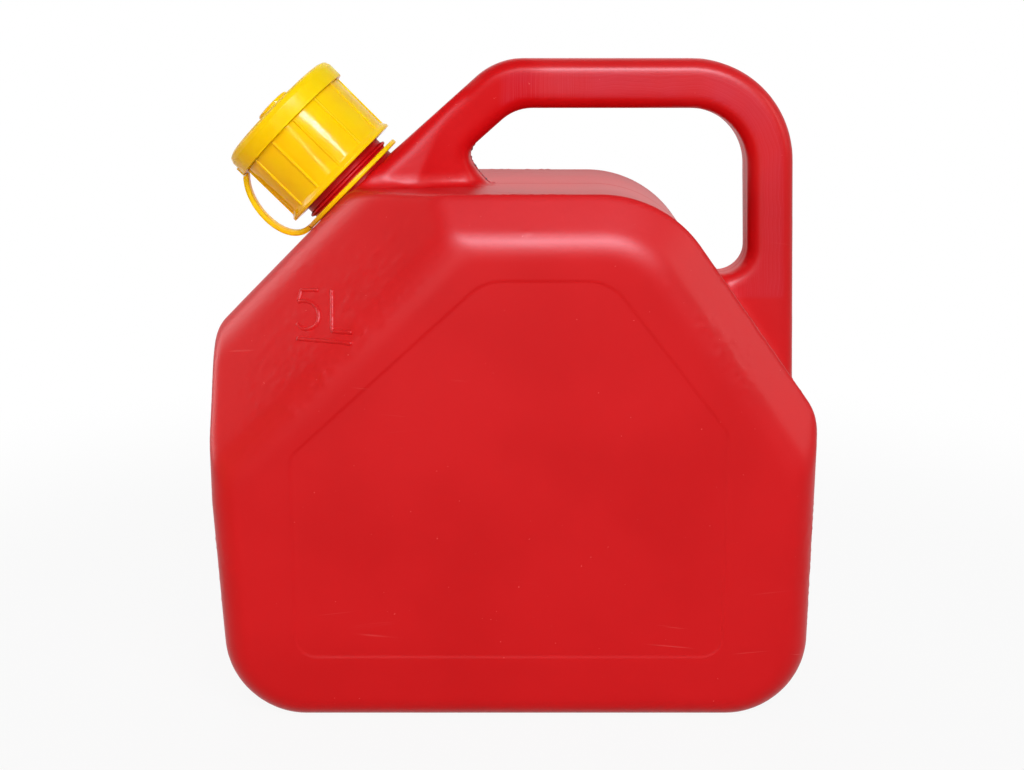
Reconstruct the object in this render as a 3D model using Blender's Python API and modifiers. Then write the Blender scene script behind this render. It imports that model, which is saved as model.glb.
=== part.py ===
"""Plastic jerrycan of five litres: a blow-moulded can with a hollow handle, a screw cap and its tether.

Metres, +Z up. The origin is the middle of the base, on the surface that the can stands on.
X runs along the broad faces, from the neck to the back of the handle, and Y is the depth.
Pieces round the neck are drawn in the neck's own frame: its origin is where the neck leaves
the slope, local Z runs out of the mouth, and local -X points down the slope.
"""

import math

import bmesh
import bpy
from mathutils import Matrix, Vector

# Tank
BODY_WIDTH = 0.2447
BODY_DEPTH = 0.138
TOP_HEIGHT = 0.213
WALL = 0.0018
WIDEST_HEIGHT = 0.090  # the neck side is widest here and leans in above and below
NECK_SIDE_TAPER = 0.0046  # how far the neck side leans in at the base
BACK_SIDE_TAPER = 0.0012  # how far the handle side does
HIGH_TAPER = 0.0003  # how far the neck side leans in at the foot of its slope
FOOT_RADIUS = 0.032  # lower corners, seen from the front
BACK_FOOT_HEIGHT = 0.1240  # foot of the slope on the handle side
BACK_TOP_X = 0.0585  # where that slope meets the top
BACK_FOOT_RADIUS = 0.022
BACK_TOP_RADIUS = 0.049
SIDE_DRAFT = 0.0012  # how far a side leans in from the mould's parting plane to the broad face
SIDE_EDGE_RADIUS = 0.012
BASE_EDGE_RADIUS = 0.009
DISH = 0.0012  # how far the top sinks at the parting plane
CREST_DEPTH = 0.057  # the top's crests lie this far in front of and behind the middle
SHOULDER_DROP = 0.018  # height lost from a crest to the broad face
SHOULDER_KNEE_RADIUS = 0.010

# Slope that carries the neck, and the facet that cuts it away towards each broad face
NECK_TILT = math.radians(45)
NECK_FOOT_HEIGHT = 0.15545
NECK_FOOT_RADIUS = 0.015
NECK_TOP_RADIUS = 0.012
FACET_START = 0.040  # the slope is full width to this depth
FACET_DROP = 0.0415  # the facet has cut in this far at the broad face
FACET_KNEE_RADIUS = 0.012

# Shallow panels
PANEL_SINK = 0.0007
PANEL_LEFT = -0.0885
PANEL_RIGHT = 0.0848
PANEL_BOTTOM = 0.0268
PANEL_LEFT_TOP = 0.1115
PANEL_RIGHT_TOP = 0.121
PANEL_TOP = 0.1816
PANEL_TOP_LEFT_X = -0.0115
PANEL_TOP_RIGHT_X = 0.0375
PANEL_FOOT_RADIUS = 0.009
PANEL_SIDE_RADIUS = 0.007
PANEL_TOP_RADIUS = 0.019
BASE_SINK = 0.0012
BASE_PANEL_WIDTH = 0.160
BASE_PANEL_DEPTH = 0.088
BASE_PANEL_RADIUS = 0.016

# Handle
HANDLE_TOP = 0.2633
HANDLE_BACK = 0.1203  # outer side of the back leg, at its foot
HANDLE_BACK_LEAN = 0.0057  # how far that side has leaned in at the top
HANDLE_BAR = 0.0200  # the bar and its front leg, seen from the front
HANDLE_BACK_LEG = 0.0190
HANDLE_THICKNESS = 0.025
HANDLE_EDGE_RADIUS = 0.006
HANDLE_RISE = math.radians(41.2)  # the front leg's lean
HANDLE_FRONT_RADIUS = 0.030
HANDLE_BACK_RADIUS = 0.043
HANDLE_FOOT_Z = 0.110  # the back leg ends here, inside the tank
HANDLE_ROOT_START = 0.004  # the front leg begins this far past the neck's axis
HANDLE_ROOT_SINK = 0.023  # how far the front leg's root goes down into the tank
GRIP_LEFT_X = -0.0211
GRIP_FOOT_LEAN = math.radians(48)
GRIP_FLOOR = 0.1744  # lower edge of the opening, over the back slope
GRIP_CORNER_RADIUS = 0.005
GRIP_FRONT_RADIUS = 0.019
GRIP_BACK_RADIUS = 0.024
GRIP_FLOOR_RADIUS = 0.011

# Neck
NECK_HEIGHT_ON_SLOPE = 0.2107  # height of the neck's root centre
NECK_RADIUS = 0.0205
NECK_BORE_RADIUS = 0.018
NECK_LENGTH = 0.038
NECK_LIP_CHAMFER = 0.0006
BOSS_RADIUS = 0.0258
BOSS_FOOT_RADIUS = 0.0300
BOSS_DEPTH = 0.022
BOSS_SINK = 0.0002  # the platform's roof lies this much below the slope
BEAD_RADIUS = 0.0218
BEAD_START = 0.0030
BEAD_HEIGHT = 0.0020
BEAD_SLANT = 0.0006  # height of the slant above and below the bead's flat

# Thread, right-handed
PITCH = 0.005
THREAD_SIZE = 0.0013
NECK_THREAD_PROUD = 0.0010  # the thread's centre line stands this far off the neck
NECK_THREAD_START = 0.0230
NECK_THREAD_TURNS = 2.25
CAP_THREAD_INSET = 0.0008  # and the cap's stands this far in from its skirt
CAP_THREAD_START = 0.0270
CAP_THREAD_TURNS = 1.5
THREAD_RUNOUT = 0.15  # the part of a turn over which an end fades into its wall
THREAD_PHASE = math.radians(1.25)  # keeps the thread's rings off the edges of the walls that carry it

# Screw cap
CAP_BOTTOM = 0.0073  # along the neck, from the slope
CAP_RADIUS = 0.02645
CAP_INNER_RADIUS = 0.0240
CAP_TOP_THICKNESS = 0.0023
CAP_RIM_RADIUS = 0.0280
CAP_RIM_HEIGHT = 0.0032
CAP_RIM_EDGE = 0.0012
CAP_EDGE = 0.0015
RIB_COUNT = 13
RIB_WIDTH = 0.0015
RIB_PROUD = 0.0006
RIB_SINK = 0.0012
RIB_EDGE = 0.0005
STUD_RADIUS = 0.0050
STUD_HEAD_RADIUS = 0.00785
STUD_HEAD_HEIGHT = 0.0025
STUD_HEAD_EDGE = 0.0009

# Seal
SEAL_THICKNESS = 0.0015

# Tether
HOOD_WALL = 0.0021
HOOD_TOP_THICKNESS = 0.0024
HOOD_DEPTH = 0.0093
HOOD_EDGE = 0.0030
HOOD_EDGE_START = 0.0009  # the hood's edge is two flats, and the upper one ends this far in and down
RING_RADIUS = 0.0254
RING_INNER_RADIUS = 0.0210
RING_THICKNESS = 0.0020
STRAP_THICKNESS = 0.0023
STRAP_WIDTH = 0.0055
STRAP_RING_PULL = 0.0190  # how strongly the strap keeps the direction in which it leaves the ring
STRAP_RING_LEAN = math.radians(10)  # that direction rises this much from straight out
STRAP_HOOD_PULL = 0.0130
STRAP_HOOD_LEAN = math.radians(26)  # it leaves the hood this much outwards from straight down
STRAP_STEPS = 24
LUG_HEIGHT = 0.0040  # the hood's lug, from which the strap hangs

CLEARANCE = 0.0003
OVERLAP = 0.002  # how far shapes that are joined or cut run past each other

# Fineness, in steps
ROUND_STEPS = 48
THREAD_STEPS = 36
KNEE_STEPS = 6
EDGE_STEPS = 4
FOOT_STEPS = 8
CORNER_STEPS = 5
BACK_TOP_STEPS = 7
WIDEST_STEPS = 2
HANDLE_BACK_STEPS = 9
HANDLE_FRONT_STEPS = 6
GRIP_CORNER_STEPS = 4
GRIP_FLOOR_STEPS = 6
GRIP_BACK_STEPS = 8
PANEL_STEPS = 4
ARC_ROOM = 0.98  # the share of an edge that the arcs at its ends may take

HALF_WIDTH = BODY_WIDTH / 2
HALF_DEPTH = BODY_DEPTH / 2
NECK_TOP_X = -HALF_WIDTH + HIGH_TAPER + (TOP_HEIGHT - NECK_FOOT_HEIGHT) / math.tan(NECK_TILT)
NECK_ROOT = Vector(
    (
        NECK_TOP_X - (TOP_HEIGHT - NECK_HEIGHT_ON_SLOPE) / math.tan(NECK_TILT),
        0,
        NECK_HEIGHT_ON_SLOPE,
    )
)
NECK_FRAME = Matrix.Translation(NECK_ROOT) @ Matrix.Rotation(-NECK_TILT, 4, "Y")
SEAL_BOTTOM = NECK_LENGTH + CLEARANCE
CAP_CEILING = SEAL_BOTTOM + SEAL_THICKNESS + CLEARANCE
CAP_TOP = CAP_CEILING + CAP_TOP_THICKNESS
HOOD_CEILING = CAP_TOP + CLEARANCE
HOOD_TOP = HOOD_CEILING + HOOD_TOP_THICKNESS
HOOD_INNER_RADIUS = CAP_RADIUS + CLEARANCE
HOOD_RADIUS = HOOD_INNER_RADIUS + HOOD_WALL
HOOD_BOTTOM = HOOD_TOP - HOOD_DEPTH


def clear_scene():
    for thing in list(bpy.data.objects):
        bpy.data.objects.remove(thing, do_unlink=True)


def new_collection(name):
    collection = bpy.data.collections.new(name)
    bpy.context.scene.collection.children.link(collection)
    return collection


def new_material(name, colour, roughness):
    material = bpy.data.materials.new(name)
    material.use_nodes = True
    shader = material.node_tree.nodes["Principled BSDF"]
    shader.inputs["Base Color"].default_value = (*colour, 1)
    shader.inputs["Roughness"].default_value = roughness
    shader.inputs["Metallic"].default_value = 0
    material.diffuse_color = (*colour, 1)
    return material


def new_object(name, mesh, collection, matrix=None):
    thing = bpy.data.objects.new(name, mesh)
    collection.objects.link(thing)
    if matrix is not None:
        thing.matrix_world = matrix
    return thing


def hide_helper(thing):
    """A cutter or a shape that is only joined to another isn't a piece by itself."""
    thing.hide_render = True
    thing.display_type = "WIRE"
    return thing


def boolean(thing, operation, tool):
    """Joins or cuts with one shape, or with all the shapes of a collection at once."""
    modifier = thing.modifiers.new(operation.lower() + " " + tool.name, "BOOLEAN")
    modifier.operation = operation
    modifier.solver = "EXACT"
    if isinstance(tool, bpy.types.Collection):
        modifier.operand_type = "COLLECTION"
        modifier.collection = tool
    else:
        modifier.object = tool


def shade(thing, material, angle=math.radians(35)):
    thing.data.materials.append(material)
    thing.data.shade_smooth()
    thing.data.set_sharp_from_angle(angle=angle)


def crossing(point_a, way_a, point_b, way_b):
    """Where two lines in the plane meet."""
    across = way_a.x * way_b.y - way_a.y * way_b.x
    gap = point_b - point_a
    return point_a + way_a * ((gap.x * way_b.y - gap.y * way_b.x) / across)


def moved_in(corners, insets):
    """The corners of an anticlockwise outline after edge i, from corner i to the next, moves in."""
    count = len(corners)
    lines = []
    for i in range(count):
        way = (corners[(i + 1) % count] - corners[i]).normalized()
        inward = Vector((-way.y, way.x))
        lines.append((corners[i] + inward * insets[i], way))
    return [crossing(*lines[i - 1], *lines[i]) for i in range(count)]


def rounded(corners, radii, steps):
    """The outline with an arc at each corner. A radius gives way where its edges are too short."""
    count = len(corners)
    tangents = []
    for i in range(count):
        back = (corners[i - 1] - corners[i]).normalized()
        ahead = (corners[(i + 1) % count] - corners[i]).normalized()
        tangents.append(radii[i] / math.tan(back.angle(ahead) / 2))
    outline = []
    for i in range(count):
        before = corners[i - 1]
        here = corners[i]
        after = corners[(i + 1) % count]
        room_before = (before - here).length / max(tangents[i - 1] + tangents[i], 1e-9)
        room_after = (after - here).length / max(tangents[i] + tangents[(i + 1) % count], 1e-9)
        tangent = tangents[i] * min(1, ARC_ROOM * room_before, ARC_ROOM * room_after)
        if not steps[i]:
            outline.append(here.copy())
            continue
        outline += arc(here, (before - here).normalized(), (after - here).normalized(), tangent, steps[i])
    return outline


def arc(corner, back, ahead, tangent, steps):
    """Points of the arc that touches both edges at this distance from their corner."""
    half = back.angle(ahead) / 2
    centre = corner + (back + ahead).normalized() * (tangent / math.cos(half))
    start = corner + back * tangent - centre
    turn = math.pi - 2 * half
    side = 1 if back.x * ahead.y - back.y * ahead.x < 0 else -1
    points = []
    for k in range(steps + 1):
        angle = side * turn * k / steps
        points.append(
            centre
            + Vector(
                (
                    start.x * math.cos(angle) - start.y * math.sin(angle),
                    start.x * math.sin(angle) + start.y * math.cos(angle),
                )
            )
        )
    return points


def loft(name, rings, collection):
    """A closed solid through rings of equally many points, with flat ends."""
    shape = bmesh.new()
    loops = [[shape.verts.new(point) for point in ring] for ring in rings]
    count = len(loops[0])
    for near, far in zip(loops, loops[1:]):
        for i in range(count):
            j = (i + 1) % count
            shape.faces.new((near[i], near[j], far[j], far[i]))
    shape.faces.new(loops[0])
    shape.faces.new(loops[-1])
    bmesh.ops.triangulate(shape, faces=shape.faces[:])
    bmesh.ops.recalc_face_normals(shape, faces=shape.faces[:])
    mesh = bpy.data.meshes.new(name)
    shape.to_mesh(mesh)
    shape.free()
    return new_object(name, mesh, collection)


def upright(outline, y):
    """An outline of the X-Z plane, stood up at this depth."""
    return [Vector((point.x, y, point.y)) for point in outline]


def turned(name, profile, collection, closed=False):
    """A profile of (radius, height) pairs turned about the neck's axis."""
    mesh = bpy.data.meshes.new(name)
    edges = [(i, i + 1) for i in range(len(profile) - 1)]
    if closed:
        edges.append((len(profile) - 1, 0))
    mesh.from_pydata([(radius, 0, height) for radius, height in profile], edges, [])
    thing = new_object(name, mesh, collection, NECK_FRAME)
    screw = thing.modifiers.new("turn", "SCREW")
    screw.axis = "Z"
    screw.angle = 2 * math.pi
    screw.steps = ROUND_STEPS
    screw.render_steps = ROUND_STEPS
    screw.use_merge_vertices = True
    screw.merge_threshold = 0.00001
    screw.use_smooth_shade = True
    return thing


def rounding(depth, half, radius):
    """How far an edge of this radius has drawn in at this depth."""
    past = max(0, depth - (half - radius))
    return radius - math.sqrt(max(0, radius**2 - past**2))


def bevel(depth, half, start, drop, knee):
    """How far a facet that starts here has cut in, with a rounded knee at the broad face."""
    lean = math.atan2(drop, half - start)
    tangent = knee * math.tan((math.pi / 2 - lean) / 2)
    if depth <= start:
        return 0
    if depth <= half - tangent * math.cos(lean):
        return (depth - start) * drop / (half - start)
    past = depth - (half - knee)
    return drop + tangent - math.sqrt(max(0, knee**2 - past**2))


def tank_corners():
    return [
        Vector((-HALF_WIDTH + NECK_SIDE_TAPER, 0)),
        Vector((HALF_WIDTH - BACK_SIDE_TAPER, 0)),
        Vector((HALF_WIDTH, BACK_FOOT_HEIGHT)),
        Vector((BACK_TOP_X, TOP_HEIGHT)),
        Vector((NECK_TOP_X, TOP_HEIGHT)),
        Vector((-HALF_WIDTH + HIGH_TAPER, NECK_FOOT_HEIGHT)),
        Vector((-HALF_WIDTH, WIDEST_HEIGHT)),
    ]


def tank_insets(depth, wall, floor):
    """The inset of each edge of the tank's outline at this depth from the parting plane."""
    half = HALF_DEPTH - wall
    base = rounding(depth, half, BASE_EDGE_RADIUS) + floor
    side = SIDE_DRAFT * depth / half + rounding(depth, half, SIDE_EDGE_RADIUS) + wall
    dish = DISH * max(0, 1 - (depth / (CREST_DEPTH - wall)) ** 2)
    top = dish + bevel(depth, half, CREST_DEPTH - wall, SHOULDER_DROP, SHOULDER_KNEE_RADIUS) + wall
    facet = bevel(depth, half, FACET_START - wall, FACET_DROP, FACET_KNEE_RADIUS) + wall
    return [base, side, top, top, facet, side, side]


def tank_depths(wall):
    half = HALF_DEPTH - wall
    crest = CREST_DEPTH - wall
    start = FACET_START - wall
    depths = [0, start / 2, start, (start + crest) / 2]
    for k in range(KNEE_STEPS + 1):
        depths.append(crest + (half - crest) * math.sin(math.pi / 2 * k / KNEE_STEPS))
    return depths


def mirrored(depths):
    """The same depths on both sides of the parting plane, in order."""
    return [-depth for depth in reversed(depths[1:])] + depths


def tank(name, collection, wall=0.0, floor=0.0):
    radii = [
        FOOT_RADIUS,
        FOOT_RADIUS,
        BACK_FOOT_RADIUS,
        BACK_TOP_RADIUS,
        NECK_TOP_RADIUS,
        NECK_FOOT_RADIUS,
        FOOT_RADIUS,
    ]
    steps = [
        FOOT_STEPS,
        FOOT_STEPS,
        CORNER_STEPS,
        BACK_TOP_STEPS,
        CORNER_STEPS,
        CORNER_STEPS,
        WIDEST_STEPS,
    ]
    rings = []
    for y in mirrored(tank_depths(wall)):
        insets = tank_insets(abs(y), wall, floor)
        corners = moved_in(tank_corners(), insets)
        drawn = [max(radius - min(insets[i - 1], insets[i]), NECK_TOP_RADIUS) for i, radius in enumerate(radii)]
        rings.append(upright(rounded(corners, drawn, steps), y))
    return loft(name, rings, collection)


def handle_corners():
    """The handle's plate. Its lower edges lie inside the tank."""
    lean = Vector((math.cos(HANDLE_RISE), math.sin(HANDLE_RISE)))
    root = Vector((NECK_ROOT.x, NECK_ROOT.z)) + lean * HANDLE_ROOT_START
    rise = (HANDLE_TOP - root.y) / math.tan(HANDLE_RISE)
    sunk = root + Vector((math.sin(NECK_TILT), -math.cos(NECK_TILT))) * HANDLE_ROOT_SINK / math.cos(NECK_TILT)
    return [
        root,
        sunk,
        Vector((BACK_TOP_X - HANDLE_BAR, sunk.y)),
        Vector((HANDLE_BACK - HANDLE_THICKNESS, HANDLE_FOOT_Z)),
        Vector((HANDLE_BACK, HANDLE_FOOT_Z)),
        Vector((HANDLE_BACK - HANDLE_BACK_LEAN, HANDLE_TOP)),
        Vector((root.x + rise, HANDLE_TOP)),
    ]


def grip_corners():
    """The handle's opening. Where the tank lies under it, its edges run on inside the tank."""
    outer = handle_corners()
    widths = [HANDLE_BAR] * len(outer)
    widths[4] = HANDLE_BACK_LEG
    inner = moved_in(outer, widths)
    front = inner[6]
    back = inner[5]
    lean = Vector((math.cos(HANDLE_RISE), math.sin(HANDLE_RISE)))
    left = front - lean * ((front.x - GRIP_LEFT_X) / lean.x)
    floor = TOP_HEIGHT - HANDLE_EDGE_RADIUS * 2
    leg_way = inner[4] - back
    back_foot = back.x + leg_way.x * (GRIP_FLOOR - back.y) / leg_way.y
    return [
        left,
        Vector((left.x + (left.y - floor) / math.tan(GRIP_FOOT_LEAN), floor)),
        Vector((BACK_TOP_X - HANDLE_EDGE_RADIUS * 2, floor)),
        Vector((BACK_TOP_X + HANDLE_EDGE_RADIUS * 2, GRIP_FLOOR)),
        Vector((back_foot, GRIP_FLOOR)),
        back,
        front,
    ]


def handle_depths(wall):
    half = HANDLE_THICKNESS / 2 - wall
    radius = HANDLE_EDGE_RADIUS - wall
    depths = [0]
    for k in range(EDGE_STEPS + 1):
        depths.append(half - radius + radius * math.sin(math.pi / 2 * k / EDGE_STEPS))
    return depths


def plate(name, collection, cutters, wall=0.0):
    """The handle as a plate with its opening cut out."""
    half = HANDLE_THICKNESS / 2 - wall
    radius = HANDLE_EDGE_RADIUS - wall
    outer_radii = [0, 0, 0, 0, 0, HANDLE_BACK_RADIUS, HANDLE_FRONT_RADIUS]
    outer_steps = [0, 0, 0, 0, 0, HANDLE_BACK_STEPS, HANDLE_FRONT_STEPS]
    grip_radii = [GRIP_CORNER_RADIUS, 0, 0, 0, GRIP_FLOOR_RADIUS, GRIP_BACK_RADIUS, GRIP_FRONT_RADIUS]
    grip_steps = [GRIP_CORNER_STEPS, 0, 0, 0, GRIP_FLOOR_STEPS, GRIP_BACK_STEPS, CORNER_STEPS]
    depths = handle_depths(wall)
    outer_rings = []
    for y in mirrored(depths):
        inset = wall + rounding(abs(y), half, radius)
        corners = moved_in(handle_corners(), [inset] * len(outer_radii))
        drawn = [max(0, size - inset) for size in outer_radii]
        outer_rings.append(upright(rounded(corners, drawn, outer_steps), y))
    grip_rings = []
    for y in mirrored(depths + [half + OVERLAP]):
        outset = wall + rounding(min(abs(y), half), half, radius)
        corners = moved_in(grip_corners(), [-outset] * len(grip_radii))
        drawn = [size + outset if size else 0 for size in grip_radii]
        grip_rings.append(upright(rounded(corners, drawn, grip_steps), y))
    body = hide_helper(loft(name, outer_rings, collection))
    grip = hide_helper(loft(name + "_grip", grip_rings, cutters))
    boolean(body, "DIFFERENCE", grip)
    return body


def panel_outline():
    corners = [
        Vector((PANEL_LEFT, PANEL_BOTTOM)),
        Vector((PANEL_RIGHT, PANEL_BOTTOM)),
        Vector((PANEL_RIGHT, PANEL_RIGHT_TOP)),
        Vector((PANEL_TOP_RIGHT_X, PANEL_TOP)),
        Vector((PANEL_TOP_LEFT_X, PANEL_TOP)),
        Vector((PANEL_LEFT, PANEL_LEFT_TOP)),
    ]
    radii = [
        PANEL_FOOT_RADIUS,
        PANEL_FOOT_RADIUS,
        PANEL_SIDE_RADIUS,
        PANEL_TOP_RADIUS,
        PANEL_TOP_RADIUS,
        PANEL_SIDE_RADIUS,
    ]
    return rounded(corners, radii, [PANEL_STEPS] * len(corners))


def panel_cutter(name, side, collection):
    """The shallow panel of one broad face."""
    outline = panel_outline()
    floor = side * (HALF_DEPTH - PANEL_SINK)
    beyond = side * (HALF_DEPTH + OVERLAP)
    return hide_helper(loft(name, [upright(outline, floor), upright(outline, beyond)], collection))


def base_cutter(collection):
    """The sunk middle of the base, which leaves a rim to stand on."""
    x = BASE_PANEL_WIDTH / 2
    y = BASE_PANEL_DEPTH / 2
    corners = [Vector((-x, -y)), Vector((x, -y)), Vector((x, y)), Vector((-x, y))]
    outline = rounded(corners, [BASE_PANEL_RADIUS] * 4, [CORNER_STEPS] * 4)
    rings = [[Vector((p.x, p.y, z)) for p in outline] for z in (-OVERLAP, BASE_SINK)]
    return hide_helper(loft("base_cutter", rings, collection))


def helix(name, radius, start, turns, sink, collection):
    """A thread of round section, as a mesh. Its ends sink by this much into the wall that carries it."""
    curve = bpy.data.curves.new(name, "CURVE")
    curve.dimensions = "3D"
    curve.bevel_depth = THREAD_SIZE
    curve.bevel_resolution = 1
    curve.use_fill_caps = True
    spline = curve.splines.new("POLY")
    count = round(THREAD_STEPS * turns)
    spline.points.add(count)
    for k in range(count + 1):
        angle = THREAD_PHASE + 2 * math.pi * turns * k / count
        height = start + PITCH * turns * k / count
        from_end = min(k, count - k) / (THREAD_STEPS * THREAD_RUNOUT)
        reach = radius + sink * max(0, 1 - from_end)
        spline.points[k].co = (reach * math.cos(angle), reach * math.sin(angle), height, 1)
    thing = new_object(name + "_path", curve, collection, NECK_FRAME)
    bpy.context.view_layer.update()
    graph = bpy.context.evaluated_depsgraph_get()
    mesh = bpy.data.meshes.new_from_object(thing.evaluated_get(graph))
    shape = bmesh.new()
    shape.from_mesh(mesh)
    bmesh.ops.remove_doubles(shape, verts=shape.verts[:], dist=0.00001)
    bmesh.ops.recalc_face_normals(shape, faces=shape.faces[:])
    bmesh.ops.triangulate(shape, faces=shape.faces[:])
    shape.to_mesh(mesh)
    shape.free()
    made = new_object(name, mesh, collection, NECK_FRAME)
    bpy.data.objects.remove(thing, do_unlink=True)
    return hide_helper(made)


def neck_profile():
    lip = NECK_LENGTH
    return [
        (0, lip),
        (NECK_RADIUS - NECK_LIP_CHAMFER, lip),
        (NECK_RADIUS, lip - NECK_LIP_CHAMFER),
        (NECK_RADIUS, BEAD_START + BEAD_HEIGHT),
        (BEAD_RADIUS, BEAD_START + BEAD_HEIGHT - BEAD_SLANT),
        (BEAD_RADIUS, BEAD_START + BEAD_SLANT),
        (NECK_RADIUS, BEAD_START),
        (NECK_RADIUS, -OVERLAP),
        (0, -OVERLAP),
    ]


def boss_profile(wall=0.0):
    """The round platform that carries the neck and flares out into the tank and the handle's root."""
    roof = -BOSS_SINK - wall
    foot = -BOSS_DEPTH - wall
    return [(0, roof), (BOSS_RADIUS - wall, roof), (BOSS_FOOT_RADIUS - wall, foot), (0, foot)]


def add_hollows(hollows, helpers):
    """The inside of the can: tank, handle, boss and bore, which run into each other."""
    hide_helper(tank("tank_hollow", hollows, WALL, WALL + BASE_SINK))
    plate("handle_hollow", hollows, helpers, WALL)
    hide_helper(turned("boss_hollow", boss_profile(WALL), hollows))
    top = NECK_LENGTH + OVERLAP
    profile = [(0, top), (NECK_BORE_RADIUS, top), (NECK_BORE_RADIUS, -BOSS_DEPTH), (0, -BOSS_DEPTH)]
    bore = hide_helper(turned("neck_bore", profile, hollows))
    # Turned by half a facet, so that its corners don't fall on the lip's edges.
    bore.matrix_world = NECK_FRAME @ Matrix.Rotation(math.pi / ROUND_STEPS, 4, "Z")


def make_can_body(parts, helpers, material):
    body = tank("can_body", parts)
    joined = new_collection("can_joined")
    plate("handle", joined, helpers)
    hide_helper(turned("neck_boss", boss_profile(), joined))
    hide_helper(turned("neck_tube", neck_profile(), joined))
    thread_radius = NECK_RADIUS + NECK_THREAD_PROUD
    helix("neck_thread", thread_radius, NECK_THREAD_START, NECK_THREAD_TURNS, -THREAD_SIZE, joined)
    boolean(body, "UNION", joined)
    hollows = new_collection("can_hollows")
    add_hollows(hollows, helpers)
    panel_cutter("front_panel_cutter", -1, hollows)
    panel_cutter("back_panel_cutter", 1, hollows)
    base_cutter(hollows)
    boolean(body, "DIFFERENCE", hollows)
    shade(body, material)
    return body


def cap_profile():
    rim = CAP_BOTTOM + CAP_RIM_HEIGHT
    head = HOOD_TOP + CLEARANCE
    return [
        (0, head + STUD_HEAD_HEIGHT),
        (STUD_HEAD_RADIUS - STUD_HEAD_EDGE, head + STUD_HEAD_HEIGHT),
        (STUD_HEAD_RADIUS, head + STUD_HEAD_HEIGHT - STUD_HEAD_EDGE),
        (STUD_HEAD_RADIUS, head),
        (STUD_RADIUS, head),
        (STUD_RADIUS, CAP_TOP),
        (CAP_RADIUS - CAP_EDGE, CAP_TOP),
        (CAP_RADIUS, CAP_TOP - CAP_EDGE),
        (CAP_RADIUS, rim),
        (CAP_RIM_RADIUS, CAP_BOTTOM + CAP_RIM_EDGE),
        (CAP_RIM_RADIUS, CAP_BOTTOM),
        (CAP_INNER_RADIUS, CAP_BOTTOM),
        (CAP_INNER_RADIUS, CAP_CEILING),
        (0, CAP_CEILING),
    ]


def cap_ribs(collection):
    """The grip ribs round the skirt, from the rim to just under the hood."""
    shape = bmesh.new()
    bottom = CAP_BOTTOM + CAP_RIM_HEIGHT / 2
    top = HOOD_BOTTOM - CLEARANCE
    inner = CAP_RADIUS - RIB_SINK
    outer = CAP_RADIUS + RIB_PROUD
    for k in range(RIB_COUNT):
        around = Matrix.Rotation(2 * math.pi * (k + 0.5) / RIB_COUNT, 4, "Z")
        place = Matrix.Translation(((inner + outer) / 2, 0, (bottom + top) / 2))
        size = Matrix.Diagonal((outer - inner, RIB_WIDTH, top - bottom, 1))
        bar = bmesh.ops.create_cube(shape, size=1, matrix=around @ place @ size)
        upright_edges = {
            edge
            for vert in bar["verts"]
            for edge in vert.link_edges
            if abs((edge.verts[0].co - edge.verts[1].co).z) > OVERLAP
        }
        bmesh.ops.bevel(shape, geom=list(upright_edges), offset=RIB_EDGE, segments=2, affect="EDGES")
    mesh = bpy.data.meshes.new("cap_ribs")
    shape.to_mesh(mesh)
    shape.free()
    return hide_helper(new_object("cap_ribs", mesh, collection, NECK_FRAME))


def make_screw_cap(parts, helpers, material):
    cap = turned("screw_cap", cap_profile(), parts)
    thread_radius = CAP_INNER_RADIUS - CAP_THREAD_INSET
    thread = helix("cap_thread", thread_radius, cap_thread_start(), CAP_THREAD_TURNS, THREAD_SIZE, helpers)
    boolean(cap, "UNION", cap_ribs(helpers))
    boolean(cap, "UNION", thread)
    shade(cap, material)
    return cap


def cap_thread_start():
    """The cap's thread lies midway between two turns of the neck's."""
    pitches = round((CAP_THREAD_START - NECK_THREAD_START) / PITCH - 0.5)
    return NECK_THREAD_START + (pitches + 0.5) * PITCH


def make_cap_seal(parts, material):
    radius = CAP_INNER_RADIUS - CLEARANCE
    top = SEAL_BOTTOM + SEAL_THICKNESS
    seal = turned("cap_seal", [(0, top), (radius, top), (radius, SEAL_BOTTOM), (0, SEAL_BOTTOM)], parts)
    shade(seal, material)
    return seal


def make_hood(parts, helpers, material):
    hole = STUD_RADIUS + CLEARANCE
    profile = [
        (hole, HOOD_TOP),
        (HOOD_RADIUS - HOOD_EDGE, HOOD_TOP),
        (HOOD_RADIUS - HOOD_EDGE_START, HOOD_TOP - HOOD_EDGE_START),
        (HOOD_RADIUS, HOOD_TOP - HOOD_EDGE),
        (HOOD_RADIUS, HOOD_BOTTOM),
        (HOOD_INNER_RADIUS, HOOD_BOTTOM),
        (HOOD_INNER_RADIUS, HOOD_CEILING),
        (hole, HOOD_CEILING),
    ]
    hood = turned("tether_hood", profile, parts, closed=True)
    boolean(hood, "UNION", hood_lug(helpers))
    shade(hood, material)
    return hood


def hood_lug(collection):
    """The block on the hood's lower edge that the strap hangs from."""
    outer = strap_hood_radius() + STRAP_THICKNESS / 2
    inner = HOOD_INNER_RADIUS + HOOD_WALL / 3
    half = STRAP_WIDTH / 2
    chamfer = STRAP_THICKNESS / 4
    outline = [
        Vector((-outer, chamfer - half)),
        Vector((chamfer - outer, -half)),
        Vector((-inner, -half)),
        Vector((-inner, half)),
        Vector((chamfer - outer, half)),
        Vector((-outer, half - chamfer)),
    ]
    top = HOOD_BOTTOM + LUG_HEIGHT
    rings = [[Vector((p.x, p.y, z)) for p in outline] for z in (HOOD_BOTTOM, top)]
    lug = hide_helper(loft("hood_lug", rings, collection))
    lug.matrix_world = NECK_FRAME
    return lug


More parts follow.
